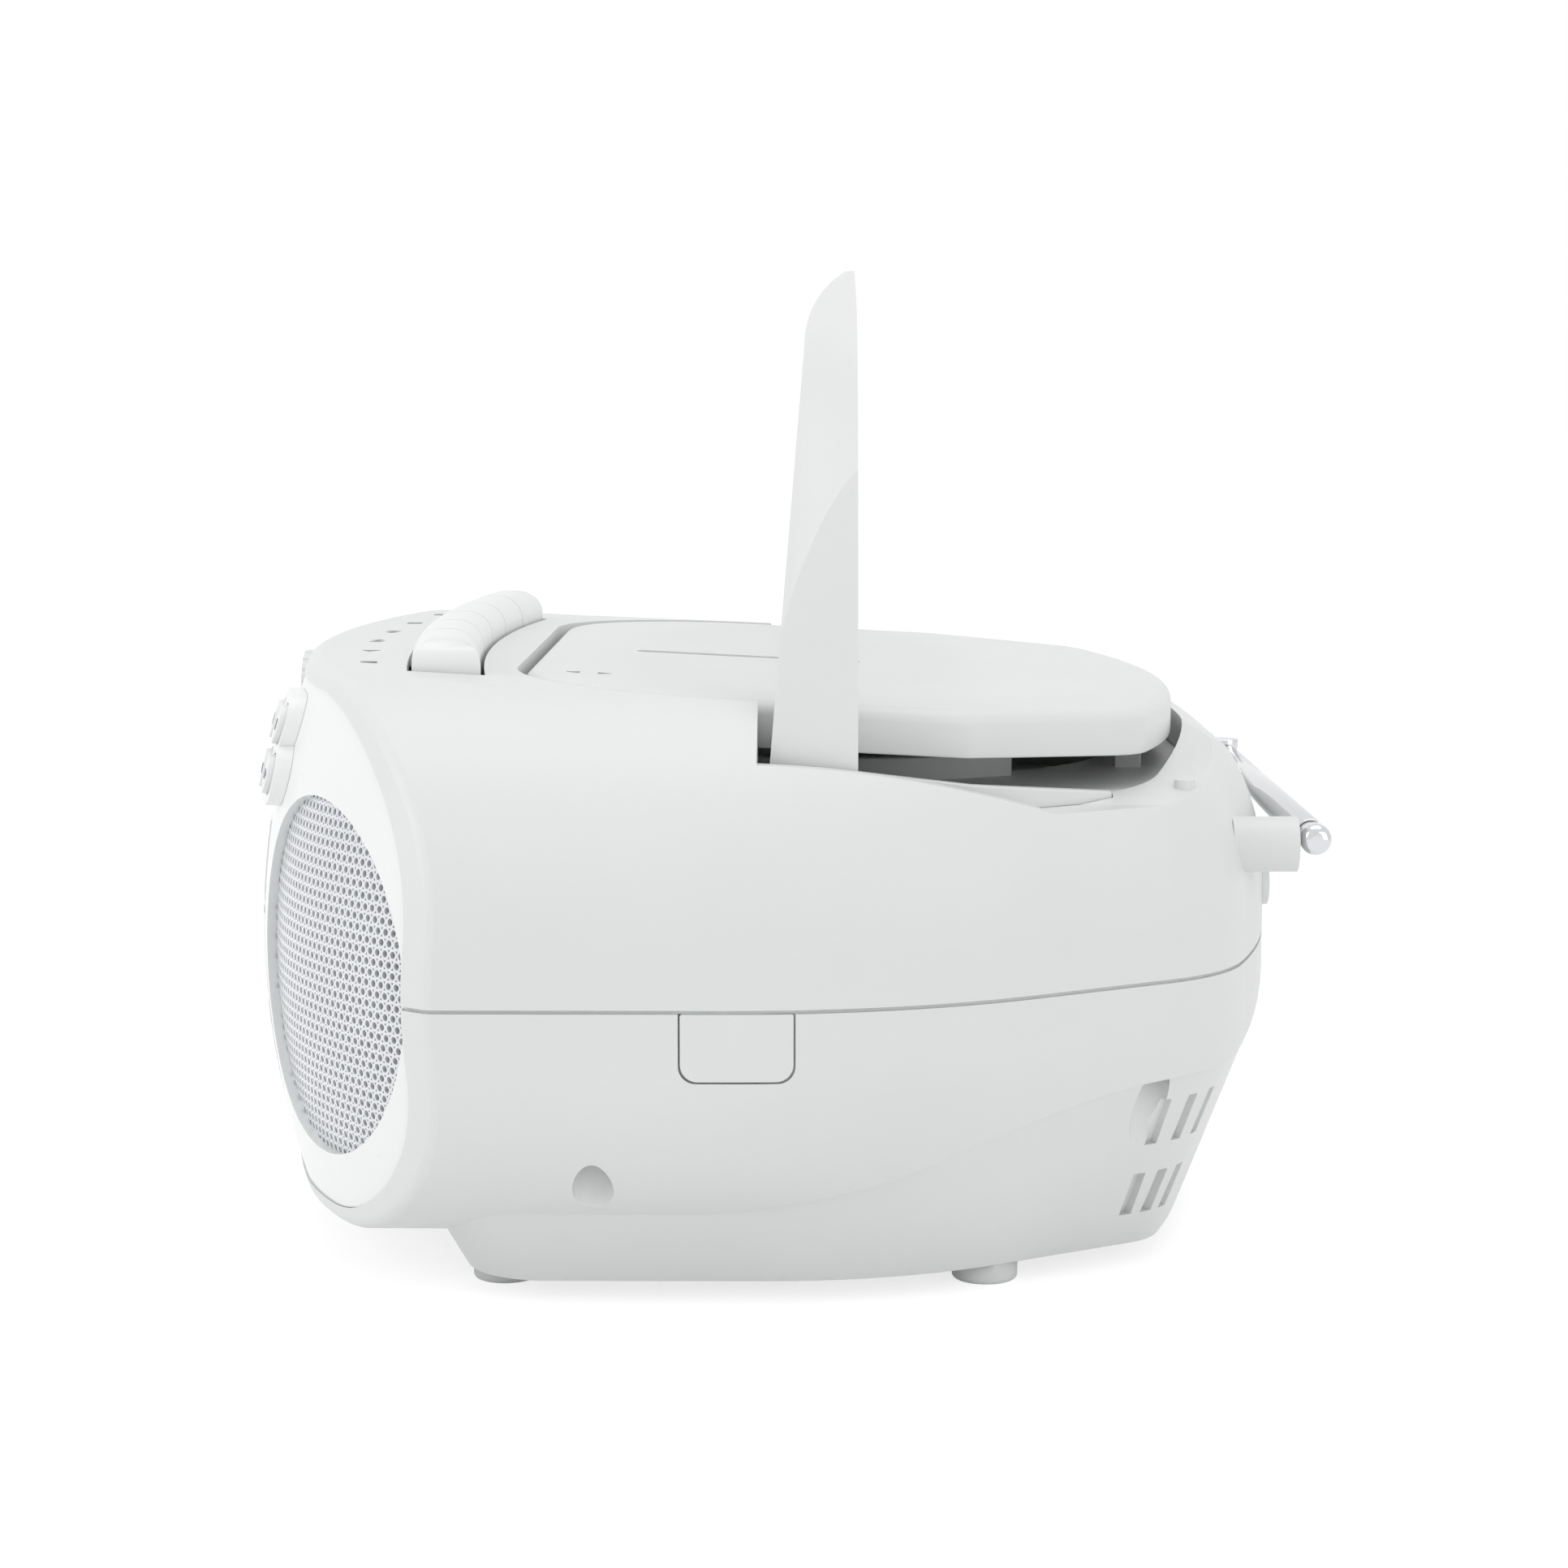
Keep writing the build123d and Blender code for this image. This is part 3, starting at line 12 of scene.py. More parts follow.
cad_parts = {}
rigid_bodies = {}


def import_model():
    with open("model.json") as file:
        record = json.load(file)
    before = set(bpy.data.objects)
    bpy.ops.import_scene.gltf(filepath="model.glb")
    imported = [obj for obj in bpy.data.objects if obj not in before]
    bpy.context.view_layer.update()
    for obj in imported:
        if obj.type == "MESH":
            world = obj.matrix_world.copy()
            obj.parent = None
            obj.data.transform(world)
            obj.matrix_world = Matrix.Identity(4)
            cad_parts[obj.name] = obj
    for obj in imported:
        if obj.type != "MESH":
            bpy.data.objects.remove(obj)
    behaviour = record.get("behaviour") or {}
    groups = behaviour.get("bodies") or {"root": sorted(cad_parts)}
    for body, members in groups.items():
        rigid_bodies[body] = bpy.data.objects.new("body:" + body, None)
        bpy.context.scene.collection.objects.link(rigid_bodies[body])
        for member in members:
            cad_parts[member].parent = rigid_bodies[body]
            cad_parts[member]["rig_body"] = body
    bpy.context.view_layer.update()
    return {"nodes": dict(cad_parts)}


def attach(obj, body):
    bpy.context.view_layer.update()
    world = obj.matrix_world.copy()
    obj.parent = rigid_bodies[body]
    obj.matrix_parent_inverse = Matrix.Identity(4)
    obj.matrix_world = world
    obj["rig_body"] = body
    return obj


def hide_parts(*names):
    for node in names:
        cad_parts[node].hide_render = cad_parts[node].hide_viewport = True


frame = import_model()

LOG = logging.getLogger("portable_radio")
MM = 0.001
# Vertices of a copied node that are nearer than this are one, in millimetres.
MERGE_MM = 0.004
# Shift in depth that sets the radio's origin under the middle of its box, in millimetres.
DEPTH_SHIFT = -2.35
# Sizes that all finishes share: colour clouds, deepest relief and light's reach into plastic.
CLOUD_MM = 38.0
RELIEF_MM = 0.1
SUBSURFACE_MM = 2.0
# A brushed grain is stretched along the brushing.
BRUSH_SCALE = (0.03, 1.0, 1.0)
# How far the roughness swings about its middle on a polished and on a grained surface.
SMOOTH_SPREAD = 0.05
GRAIN_SPREAD = 0.1

Triple = tuple[float, float, float]


class Mark(Enum):
    """Plain symbols that are printed beside keys and on buttons."""

    PLAY = "play"
    STOP = "stop"
    PAUSE = "pause"
    FORWARD = "forward"
    BACK = "back"
    RECORD = "record"
    ARROW = "arrow"


class Grain(Enum):
    """How a moulded or finished surface breaks up the light."""

    SATIN = "satin"
    SMOOTH = "smooth"
    BRUSHED = "brushed"
    FIBRE = "fibre"


def linear(code: str) -> tuple[float, float, float, float]:
    """Turns an sRGB hex colour to linear.

    Args:
        code: six hex digits, with or without a leading hash.

    Returns:
        Linear red, green, blue and an alpha of 1.
    """
    digits = code.lstrip("#")
    channels = [int(digits[i:i + 2], 16) / 255 for i in (0, 2, 4)]
    values = [c / 12.92 if c <= 0.04045 else ((c + 0.055) / 1.055) ** 2.4 for c in channels]
    return (values[0], values[1], values[2], 1.0)


def node(tree: bpy.types.NodeTree, kind: str, links: dict[str | int, object] | None = None,
         **settings: object) -> bpy.types.Node:
    """Adds one node with its settings and links.

    Args:
        tree: node tree that takes the node.
        kind: Blender's type name of the node.
        links: socket name to a value, or to an output socket that feeds it.
        settings: attributes of the node.

    Returns:
        The new node.
    """
    made = tree.nodes.new(kind)
    for name, value in settings.items():
        setattr(made, name, value)
    for name, value in (links or {}).items():
        socket = made.inputs[name]
        if isinstance(value, bpy.types.NodeSocket):
            tree.links.new(value, socket)
        else:
            socket.default_value = value
    return made


@dataclass(frozen=True)
class Finish:
    """A material: what it is made of, how its surface was made and what that gives the eye.

    The grain's size is in millimetres. One that is too fine to show is drawn coarser.
    """

    name: str
    colour: str
    shade: str
    roughness: float
    grain: Grain = Grain.SATIN
    grain_mm: float = 0.5
    relief: float = 0.04
    ior: float = 1.53
    metallic: float = 0.0
    transmission: float = 0.0
    coat: float = 0.0
    subsurface: float = 0.0

    def make(self) -> bpy.types.Material:
        """Builds the material's nodes, or finds the material where it is already made.

        Returns:
            The finished material.
        """
        known = bpy.data.materials.get(self.name)
        if known:
            return known
        material = bpy.data.materials.new(self.name)
        material.use_nodes = True
        tree = material.node_tree
        tree.nodes.clear()
        out = node(tree, "ShaderNodeOutputMaterial")
        shader = node(tree, "ShaderNodeBsdfPrincipled", {
            "IOR": self.ior, "Metallic": self.metallic, "Transmission Weight": self.transmission,
            "Coat Weight": self.coat, "Subsurface Weight": self.subsurface,
            "Subsurface Scale": SUBSURFACE_MM * MM})
        tree.links.new(shader.outputs["BSDF"], out.inputs["Surface"])
        place = node(tree, "ShaderNodeTexCoord").outputs["Object"]
        if self.grain is Grain.BRUSHED:
            brushed = node(tree, "ShaderNodeMapping", {"Vector": place, "Scale": BRUSH_SCALE})
            place = brushed.outputs["Vector"]
        cloud = node(tree, "ShaderNodeTexNoise", {
            "Vector": place, "Scale": 1 / (CLOUD_MM * MM), "Detail": 3.0})
        tint = node(tree, "ShaderNodeMix", {
            "Factor": cloud.outputs["Fac"], "A": linear(self.colour), "B": linear(self.shade)},
            data_type="RGBA")
        tree.links.new(tint.outputs["Result"], shader.inputs["Base Color"])
        fine = node(tree, "ShaderNodeTexNoise", {
            "Vector": place, "Scale": 1 / (self.grain_mm * MM), "Detail": 2.0})
        spread = SMOOTH_SPREAD if self.grain is Grain.SMOOTH else GRAIN_SPREAD
        gloss = node(tree, "ShaderNodeMapRange", {
            "Value": fine.outputs["Fac"], "To Min": self.roughness - spread,
            "To Max": self.roughness + spread})
        tree.links.new(gloss.outputs["Result"], shader.inputs["Roughness"])
        if self.relief > 0:
            bump = node(tree, "ShaderNodeBump", {
                "Height": fine.outputs["Fac"], "Strength": self.relief, "Distance": RELIEF_MM * MM})
            tree.links.new(bump.outputs["Normal"], shader.inputs["Normal"])
        return material


# ABS, moulded in a finely eroded tool: an even off-white with a soft, wide highlight.
CABINET_ABS = Finish("abs_cabinet_satin", "#E3E5E4", "#DEE0DF", 0.42, subsurface=0.03)
# ABS of panel, cassette door and pod, moulded in a polished tool: whiter, with a clearer highlight.
PANEL_ABS = Finish("abs_panel_smooth", "#F3F5F4", "#EFF1F0", 0.3, Grain.SMOOTH, 2.0, 0.0, coat=0.1)
# ABS of the tape keys: nearly as white as the panel and a little softer in gloss.
KEY_ABS = Finish("abs_key_smooth", "#EEF0EF", "#EAECEB", 0.34, Grain.SMOOTH, 2.0, 0.0)
# Pale grey ABS of knobs, switch caps and headphone socket: smooth, a shade darker than the panel.
TRIM_ABS = Finish("abs_trim_pale", "#E4E6E7", "#DEE0E2", 0.35, Grain.SMOOTH, 1.5, 0.0)
# White ABS of the push buttons, polished: a small clear highlight.
BUTTON_ABS = Finish("abs_button_white", "#EDEFEF", "#E7E9E9", 0.3, Grain.SMOOTH, 1.5, 0.0)
# Mild steel sheet, punched and stove painted: pale grey with a slight sheen.
GRILLE_STEEL = Finish("painted_grille_steel", "#E9EBEE", "#E2E4E8", 0.33, Grain.SMOOTH, 2.0, 0.0, coat=0.15)
# Grey ABS of the rings behind the grilles, its grey painted darker to give the shade seen through the holes.
BAFFLE_ABS = Finish("abs_baffle_grey", "#70747B", "#666A71", 0.5)
# Pressed paper pulp of the cones: black, dull and fibrous.
CONE_PAPER = Finish("paper_cone_pressed", "#141416", "#202024", 0.85, Grain.FIBRE, 0.9, 0.3)
# Pressed steel of the loudspeakers' baskets, enamelled: black with a low sheen.
BASKET_STEEL = Finish("steel_basket_black", "#26282B", "#1D1F21", 0.5, Grain.SATIN, 0.6, 0.05)
# Acrylic, moulded and lightly smoked: shows what lies behind it, darkened.
SMOKED_ACRYLIC = Finish("acrylic_smoked", "#8D9196", "#868A90", 0.07, Grain.SMOOTH, 2.0, 0.0, 1.49,
                        transmission=0.9)
# Clear acrylic of the display's pane: almost without colour.
CLEAR_ACRYLIC = Finish("acrylic_clear", "#EEF1F1", "#E9ECEC", 0.06, Grain.SMOOTH, 2.0, 0.0, 1.49,
                       transmission=0.95)
# Glass of the display: a flat grey green.
DISPLAY_GLASS = Finish("glass_display_grey", "#B4C2B4", "#ACBAAD", 0.2, Grain.SMOOTH, 1.0, 0.0, 1.52)
# Glass-fibre circuit board under green lacquer: shiny, with the weave just showing.
BOARD_LACQUER = Finish("board_green_lacquer", "#2E5B3A", "#254C31", 0.35, Grain.FIBRE, 0.7, 0.06)
# Brass tube, chrome plated: a hard mirror.
CHROME = Finish("chrome_plate_bright", "#D6D7D9", "#CDCFD2", 0.08, Grain.BRUSHED, 0.4, 0.0, 1.5, 1.0)
# Steel with bright nickel: greyer than chrome and faintly drawn.
NICKEL = Finish("nickel_plate_drawn", "#B9B6AE", "#AAA79F", 0.28, Grain.BRUSHED, 0.4, 0.03, 1.5, 1.0)
# Rolled steel of motor cans, transformer and tape head: dull grey with fine lines.
SHEET_STEEL = Finish("steel_sheet_plain", "#8F9194", "#818387", 0.38, Grain.BRUSHED, 0.5, 0.05, 1.5, 1.0)
# Turned brass of the tape drive's wheels: warm yellow with fine tool marks.
BRASS = Finish("brass_turned", "#C2A25C", "#B3924E", 0.25, Grain.BRUSHED, 0.4, 0.04, 1.5, 1.0)
# Pale thermoplastic rubber of the feet: dull, slightly greyer than the cabinet.
FOOT_RUBBER = Finish("rubber_foot_pale", "#DCDEDE", "#D3D5D5", 0.62, Grain.SATIN, 0.5, 0.08)
# Black rubber of the drive belt: dull all over.
BELT_RUBBER = Finish("rubber_belt_black", "#161616", "#1E1E1E", 0.7, Grain.SATIN, 0.5, 0.08)
# Black polystyrene of the inner mechanisms and the mains inlet: a soft dark sheen.
BLACK_STYRENE = Finish("styrene_black", "#191A1B", "#222325", 0.45, Grain.SATIN, 0.5, 0.05)
# Screen-printed ink of the symbols: flat mid grey.
GREY_INK = Finish("ink_grey_printed", "#8F9498", "#878C91", 0.6, Grain.SATIN, 0.3, 0.0)
# Ink of knob pointers and display bars: flat and nearly black.
DARK_INK = Finish("ink_dark_printed", "#3C4246", "#343A3E", 0.6, Grain.SATIN, 0.3, 0.0)
# Grey acrylic of the lid's inlay, polished: a thin bright reflection.
INLAY_ACRYLIC = Finish("acrylic_inlay_grey", "#C3C8D0", "#BBC0C9", 0.12, Grain.SMOOTH, 2.0, 0.0, 1.49,
                       coat=0.3)


@dataclass(frozen=True)
class Moulding:
    """Nodes of one finish, and the width of their edges' rounding in millimetres.

    A node with a width is shown by a merged copy, rounded where the width is above 0. The others keep
    their own mesh.
    """

    finish: Finish
    nodes: tuple[str, ...]
    edge_mm: float | None = None


KEYS = ("key_pause", "key_stop", "key_fast_forward", "key_rewind", "key_play", "key_record")
BUTTONS = ("cd_play_button", "cd_stop_button", "cd_back_button", "cd_forward_button")
KNOBS = ("volume_knob", "tuning_knob")
AERIAL = ("aerial_tube", "aerial_section_2", "aerial_section_3", "aerial_tip", "aerial_turret")

MOULDINGS = (
    Moulding(CABINET_ABS, ("upper_cabinet", "lower_cabinet", "handle")),
    Moulding(CABINET_ABS, ("side_cover", "battery_door", "disc_tray"), 0.4),
    Moulding(CABINET_ABS, ("cd_lid",), 0.5),
    Moulding(PANEL_ABS, ("front_panel",)),
    Moulding(PANEL_ABS, ("cassette_door",), 0.5),
    Moulding(PANEL_ABS, ("control_pod",), 0.0),
    Moulding(KEY_ABS, KEYS, 0.5),
    Moulding(TRIM_ABS, KNOBS, 0.5),
    Moulding(BUTTON_ABS, BUTTONS, 0.0),
    Moulding(TRIM_ABS, ("function_slider", "band_slider"), 0.4),
    Moulding(BAFFLE_ABS, ("speaker_baffles",), 0.0),
    Moulding(GRILLE_STEEL, ("grille_left", "grille_right")),
    Moulding(CONE_PAPER, ("speaker_cone_left", "speaker_cone_right"), 0.0),
    Moulding(BASKET_STEEL, ("speaker_frame_left", "speaker_frame_right"), 0.0),
    Moulding(SMOKED_ACRYLIC, ("cassette_window",), 0.0),
    Moulding(CLEAR_ACRYLIC, ("display_window",), 0.0),
    Moulding(DISPLAY_GLASS, ("lcd_module",)),
    Moulding(BOARD_LACQUER, ("control_board", "main_board")),
    Moulding(CHROME, AERIAL, 0.25),
    Moulding(NICKEL, ("battery_contacts", "hinge_pins", "cabinet_screws"), 0.0),
    Moulding(SHEET_STEEL, ("power_transformer", "spindle_motor", "cassette_motor", "tape_head")),
    Moulding(BRASS, ("flywheel", "motor_pulley")),
    Moulding(FOOT_RUBBER, ("feet",), 0.0),
    Moulding(BELT_RUBBER, ("drive_belt",)),
    Moulding(TRIM_ABS, ("headphone_socket",), 0.3),
    Moulding(BLACK_STYRENE, ("mains_inlet",), 0.3),
    Moulding(BLACK_STYRENE, ("cassette_chassis", "cd_deck", "cd_turntable", "reel_spindle_left",
                             "reel_spindle_right", "cd_pickup")),
)


def finish_piece(shape: bmesh.types.BMesh, name: str, finish: Finish, body: str,
                 replaced: Iterable[str] = ()) -> bpy.types.Object:
    """Turns a bmesh in metres into a piece that rides on a body.

    Args:
        shape: the mesh, already in its place. It is freed.
        name: the piece's name.
        finish: its material.
        body: the CAD body that carries it.
        replaced: CAD nodes that it stands for.

    Returns:
        The new object.
    """
    mesh = bpy.data.meshes.new(name)
    shape.to_mesh(mesh)
    shape.free()
    mesh.materials.append(finish.make())
    piece = bpy.data.objects.new(name, mesh)
    bpy.context.scene.collection.objects.link(piece)
    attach(piece, body)
    for member in replaced:
        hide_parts(member)
    LOG.info("%s: %d faces on %s", name, len(mesh.polygons), body)
    return piece


def merged_copy(name: str) -> bmesh.types.BMesh:
    """Copies a CAD node's mesh and merges its loose triangles.

    Args:
        name: the CAD node.

    Returns:
        The copy in metres.
    """
    shape = bmesh.new()
    shape.from_mesh(frame["nodes"][name].data)
    bmesh.ops.remove_doubles(shape, verts=shape.verts, dist=MERGE_MM * MM)
    return shape


def smooth_by_angle(piece: bpy.types.Object, degrees: float) -> None:
    """Shades a piece smooth across edges flatter than an angle."""
    piece.data.shade_smooth()
    piece.data.set_sharp_from_angle(angle=math.radians(degrees))


@dataclass
class MouldedParts:
    """Moulded and turned parts: every node's finish, and softly rounded edges where they show.

    Faces that meet flatter than flat_degrees are joined, and edges above sharp_degrees are rounded where
    the faces beside them are room_radii widths deep. Shading breaks above crease_degrees.
    """

    flat_degrees: float = 0.4
    sharp_degrees: float = 40.0
    room_radii: float = 2.0
    crease_degrees: float = 22.0
    segments: int = 3

    def takes_rounding(self, edge: bmesh.types.BMEdge, radius: float) -> bool:
        """Tells whether an edge is sharp, outward and has room for a rounding on both sides.

        Args:
            edge: an edge between two faces.
            radius: width of the rounding in metres.

        Returns:
            True where the rounding fits.
        """
        if not edge.is_convex or edge.calc_face_angle(0.0) < math.radians(self.sharp_degrees):
            return False
        length = edge.calc_length()
        near = {other for vert in edge.verts for other in vert.link_edges}
        room = min(face.calc_area() / length for face in edge.link_faces)
        return room > self.room_radii * radius and min(other.calc_length() for other in near) > radius

    def rounded(self, name: str, radius: float) -> bmesh.types.BMesh:
        """Makes a merged copy of a node and rounds its outward edges.

        Args:
            name: the CAD node.
            radius: width of the rounding in millimetres, or 0 for none.

        Returns:
            The copy in metres.
        """
        shape = merged_copy(name)
        if radius > 0:
            bmesh.ops.dissolve_limit(shape, angle_limit=math.radians(self.flat_degrees), verts=shape.verts,
                                     edges=shape.edges)
            sharp = [edge for edge in shape.edges if self.takes_rounding(edge, radius * MM)]
            bmesh.ops.bevel(shape, geom=sharp, offset=radius * MM, offset_type="OFFSET", affect="EDGES",
                            segments=self.segments, profile=0.5, material=-1, clamp_overlap=False)
        return shape

    def build(self) -> None:
        """Dresses every node and sets the rounded copies in place."""
        for moulding in MOULDINGS:
            for name in moulding.nodes:
                node_object = frame["nodes"][name]
                node_object.data.materials.clear()
                node_object.data.materials.append(moulding.finish.make())
                if moulding.edge_mm is not None:
                    piece = finish_piece(self.rounded(name, moulding.edge_mm), name + "_finished",
                                         moulding.finish, node_object["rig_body"], [name])
                    smooth_by_angle(piece, self.crease_degrees)
            LOG.info("%s on %s", moulding.finish.name, ", ".join(moulding.nodes))


@dataclass
class SeamTongue:
    """Tongue of the upper shell that closes the seam between the two shells, in millimetres."""

    seam_top: float = 66.4
    height: float = 0.8
    draw_in: float = 0.992

    def build(self) -> None:
        """Slices the upper shell's lowest edge, draws it in and lowers it into the seam."""
        shape = merged_copy("upper_cabinet")
        whole = shape.verts[:] + shape.edges[:] + shape.faces[:]
        cut = bmesh.ops.bisect_plane(shape, geom=whole, plane_co=(0, 0, (self.seam_top + self.height) * MM),
                                     plane_no=(0, 0, 1), clear_outer=True)
        rims = [part for part in cut["geom_cut"] if isinstance(part, bmesh.types.BMEdge)]
        bmesh.ops.triangle_fill(shape, edges=rims, use_beauty=True)
        bmesh.ops.scale(shape, verts=shape.verts, vec=(self.draw_in, self.draw_in, 1))
        bmesh.ops.translate(shape, verts=shape.verts, vec=(0, 0, -self.height * MM))
        bmesh.ops.recalc_face_normals(shape, faces=shape.faces)
        finish_piece(shape, "seam_tongue", CABINET_ABS, "cabinet")


@dataclass
class Front:
    """The bulged front: three tangent arcs in plan with an upright bulge, in millimetres."""

    corner: tuple[float, float] = (50.0, -1.0)
    corner_r: float = 109.0
    middle: tuple[float, float] = (0.0, 204.333)
    middle_r: float = 320.333
    bulge_r: float = 170.0
    bulge_z: float = 67.0

    @property
    def joint(self) -> float:
        """Direction where the middle arc meets the corner's, in radians from straight ahead."""
        return math.atan2(self.corner[0] - self.middle[0], self.middle[1] - self.corner[1])

    def point(self, along: float, height: float, inset: float, start: float) -> Vector:
        """Finds a point of the front's surface on the right.

        Args:
            along: arc length in plan from a starting direction, towards the right.
            height: height above the floor.
            inset: depth under the surface.
            start: starting direction about the corner's axis, in radians from straight ahead.

        Returns:
            The point in metres, in the frame of the solids.
        """
        turn = start + along / self.corner_r
        centre, radius = self.corner, self.corner_r
        if turn < self.joint:
            turn = self.joint + (turn - self.joint) * self.corner_r / self.middle_r
            centre, radius = self.middle, self.middle_r
        sink = self.bulge_r - math.sqrt((self.bulge_r - inset) ** 2 - (height - self.bulge_z) ** 2)
        reach = radius - sink
        x = centre[0] + reach * math.sin(turn)
        y = centre[1] - reach * math.cos(turn)
        return Vector((x, y + DEPTH_SHIFT, height)) * MM

    def at(self, x: float, z: float, inset: float) -> tuple[Vector, Vector]:
        """Finds a point near the middle of the front and the way the front faces there.

        Args:
            x: distance to the right, on the middle arc.
            z: height above the floor.
            inset: depth under the surface.

        Returns:
            The point in millimetres and the normal.
        """
        rise = math.asin((z - self.bulge_z) / (self.bulge_r - inset))
        reach = self.middle_r - self.bulge_r + (self.bulge_r - inset) * math.cos(rise)
        turn = math.asin(x / reach)
        point = Vector((x, self.middle[1] - reach * math.cos(turn) + DEPTH_SHIFT, z))
        normal = Vector((math.sin(turn) * math.cos(rise), -math.cos(turn) * math.cos(rise), math.sin(rise)))
        return point, normal


@dataclass
class PerforatedGrilles:
    """Punched steel sheets over the two loudspeakers, holes on a staggered pitch, in millimetres."""

    front: Front = field(default_factory=Front)
    pitch: float = 2.5
    hole: float = 1.5
    hole_sides: int = 12
    half_width: float = 40.9
    half_height: float = 38.9
    centre_x: float = 105.0
    centre_z: float = 67.0
    sheet: float = 1.0
    depth: float = 2.62
    weld: float = 0.01
    shortest_edge: float = 0.02

    def cell(self) -> bpy.types.Mesh:
        """Makes one six-sided cell with its round hole.

        Returns:
            A flat mesh about the origin.
        """
        cell = bmesh.new()
        outer = bmesh.ops.create_circle(cell, segments=6, radius=self.pitch / math.sqrt(3))
        edges = list({edge for vert in outer["verts"] for edge in vert.link_edges})
        bmesh.ops.subdivide_edges(cell, edges=edges, cuts=1)
        bmesh.ops.create_circle(cell, segments=self.hole_sides, radius=self.hole / 2)
        bmesh.ops.bridge_loops(cell, edges=cell.edges[:])
        bmesh.ops.rotate(cell, verts=cell.verts, matrix=Matrix.Rotation(math.radians(30), 3, "Z"))
        mesh = bpy.data.meshes.new("grille_cell")
        cell.to_mesh(mesh)
        cell.free()
        return mesh

    def places(self) -> list[tuple[float, float]]:
        """Lists the cells' centres inside the rim.

        Returns:
            Distances across and up from the grille's middle.
        """
        row = self.pitch * math.sqrt(3) / 2
        rows = int(self.half_height / row) + 1
        columns = int(self.half_width / self.pitch) + 1
        found = []
        for j in range(-rows, rows + 1):
            for i in range(-columns, columns + 1):
                a, b = (i + 0.5 * (j % 2)) * self.pitch, j * row
                if (a / self.half_width) ** 2 + (b / self.half_height) ** 2 <= 1.0:
                    found.append((a, b))
        return found

    def punched_sheet(self) -> bmesh.types.BMesh:
        """Joins the cells to a flat sheet, draws them in to the rim and gives them a thickness.

        Returns:
            The sheet about the origin, in millimetres.
        """
        cell = self.cell()
        flat = bmesh.new()
        for a, b in self.places():
            count = len(flat.verts)
            flat.from_mesh(cell)
            flat.verts.ensure_lookup_table()
            bmesh.ops.translate(flat, verts=flat.verts[count:], vec=(a, b, 0))
        bpy.data.meshes.remove(cell)
        bmesh.ops.remove_doubles(flat, verts=flat.verts, dist=self.weld)
        for vert in flat.verts:
            reach = math.hypot(vert.co.x / self.half_width, vert.co.y / self.half_height)
            if reach > 1.0:
                vert.co.xy /= reach
        bmesh.ops.dissolve_degenerate(flat, edges=flat.edges, dist=self.shortest_edge)
        bmesh.ops.recalc_face_normals(flat, faces=flat.faces)
        if sum(face.normal.z for face in flat.faces) < 0:
            bmesh.ops.reverse_faces(flat, faces=flat.faces)
        bmesh.ops.solidify(flat, geom=flat.faces[:], thickness=self.sheet)
        return flat

    def build(self) -> None:
        """Curves the right sheet to the front and mirrors it to the left."""
        right = self.punched_sheet()
        top = max(vert.co.z for vert in right.verts)
        centre_turn = math.asin((self.centre_x - self.front.corner[0]) / self.front.corner_r)
        for vert in right.verts:
            inset = self.depth + top - vert.co.z
            vert.co = self.front.point(vert.co.x, self.centre_z + vert.co.y, inset, centre_turn)
        left = right.copy()
        bmesh.ops.scale(left, verts=left.verts, vec=(-1, 1, 1))
        bmesh.ops.reverse_faces(left, faces=left.faces)
        for shape, side in ((right, "right"), (left, "left")):
            finish_piece(shape, f"perforated_grille_{side}", GRILLE_STEEL, "cabinet",
                         [f"grille_{side}"])


@dataclass
class LidTop:
    """The lid's sloping top, in millimetres."""

    front_y: float = -52.0 + DEPTH_SHIFT
    front_z: float = 127.2
    slope: float = -0.05

    def place(self, x: float, y: float, lift: float) -> Matrix:
        """Finds a place on the lid's top, tilted with it."""
        z = self.front_z + self.slope * (y - self.front_y)
        return Matrix.Translation((x, y, z + lift)) @ Matrix.Rotation(math.atan(self.slope), 4, "X")


@dataclass
class FlatTrim:
    """What prints and thin trims share: plain bars and the way onto a surface, in millimetres."""

    print_depth: float = 0.12
    edge_segments: int = 2

    def bar(self, shape: bmesh.types.BMesh, x: float, y: float, width: float, height: float) -> None:
        """Adds a flat bar about a point."""
        place = Matrix.Translation((x, y, 0)) @ Matrix.Diagonal((width, height, self.print_depth, 1))
        bmesh.ops.create_cube(shape, size=1.0, matrix=place)

    def put(self, shape: bmesh.types.BMesh, name: str, finish: Finish, place: Matrix, body: str,
            slot: str) -> None:
        """Moves a thin shape to its place and makes it a piece.

        Args:
            shape: the shape about the origin, facing up.
            name: the piece's name.
            finish: its material.
            place: where it goes, in millimetres.
            body: the body that carries it.
            slot: not used.
        """
        bmesh.ops.transform(shape, matrix=Matrix.Diagonal((MM, MM, MM, 1)) @ place, verts=shape.verts)
        bmesh.ops.recalc_face_normals(shape, faces=shape.faces)
        finish_piece(shape, name, finish, body)

    def facing(self, point: Vector, normal: Vector, lift: float = 0.02) -> Matrix:
        """Finds the place of a print on a surface, upright as seen from the front.

        Args:
            point: point on the surface in millimetres.
            normal: the way the surface faces.
            lift: how far the print's middle stands off.

        Returns:
            The place with its z along the normal.
        """
        across = Vector((0, 0, 1)).cross(normal).normalized()
        up = normal.cross(across)
        turn = Matrix((across, up, normal)).transposed()
        return Matrix.Translation(point + normal * lift) @ turn.to_4x4()


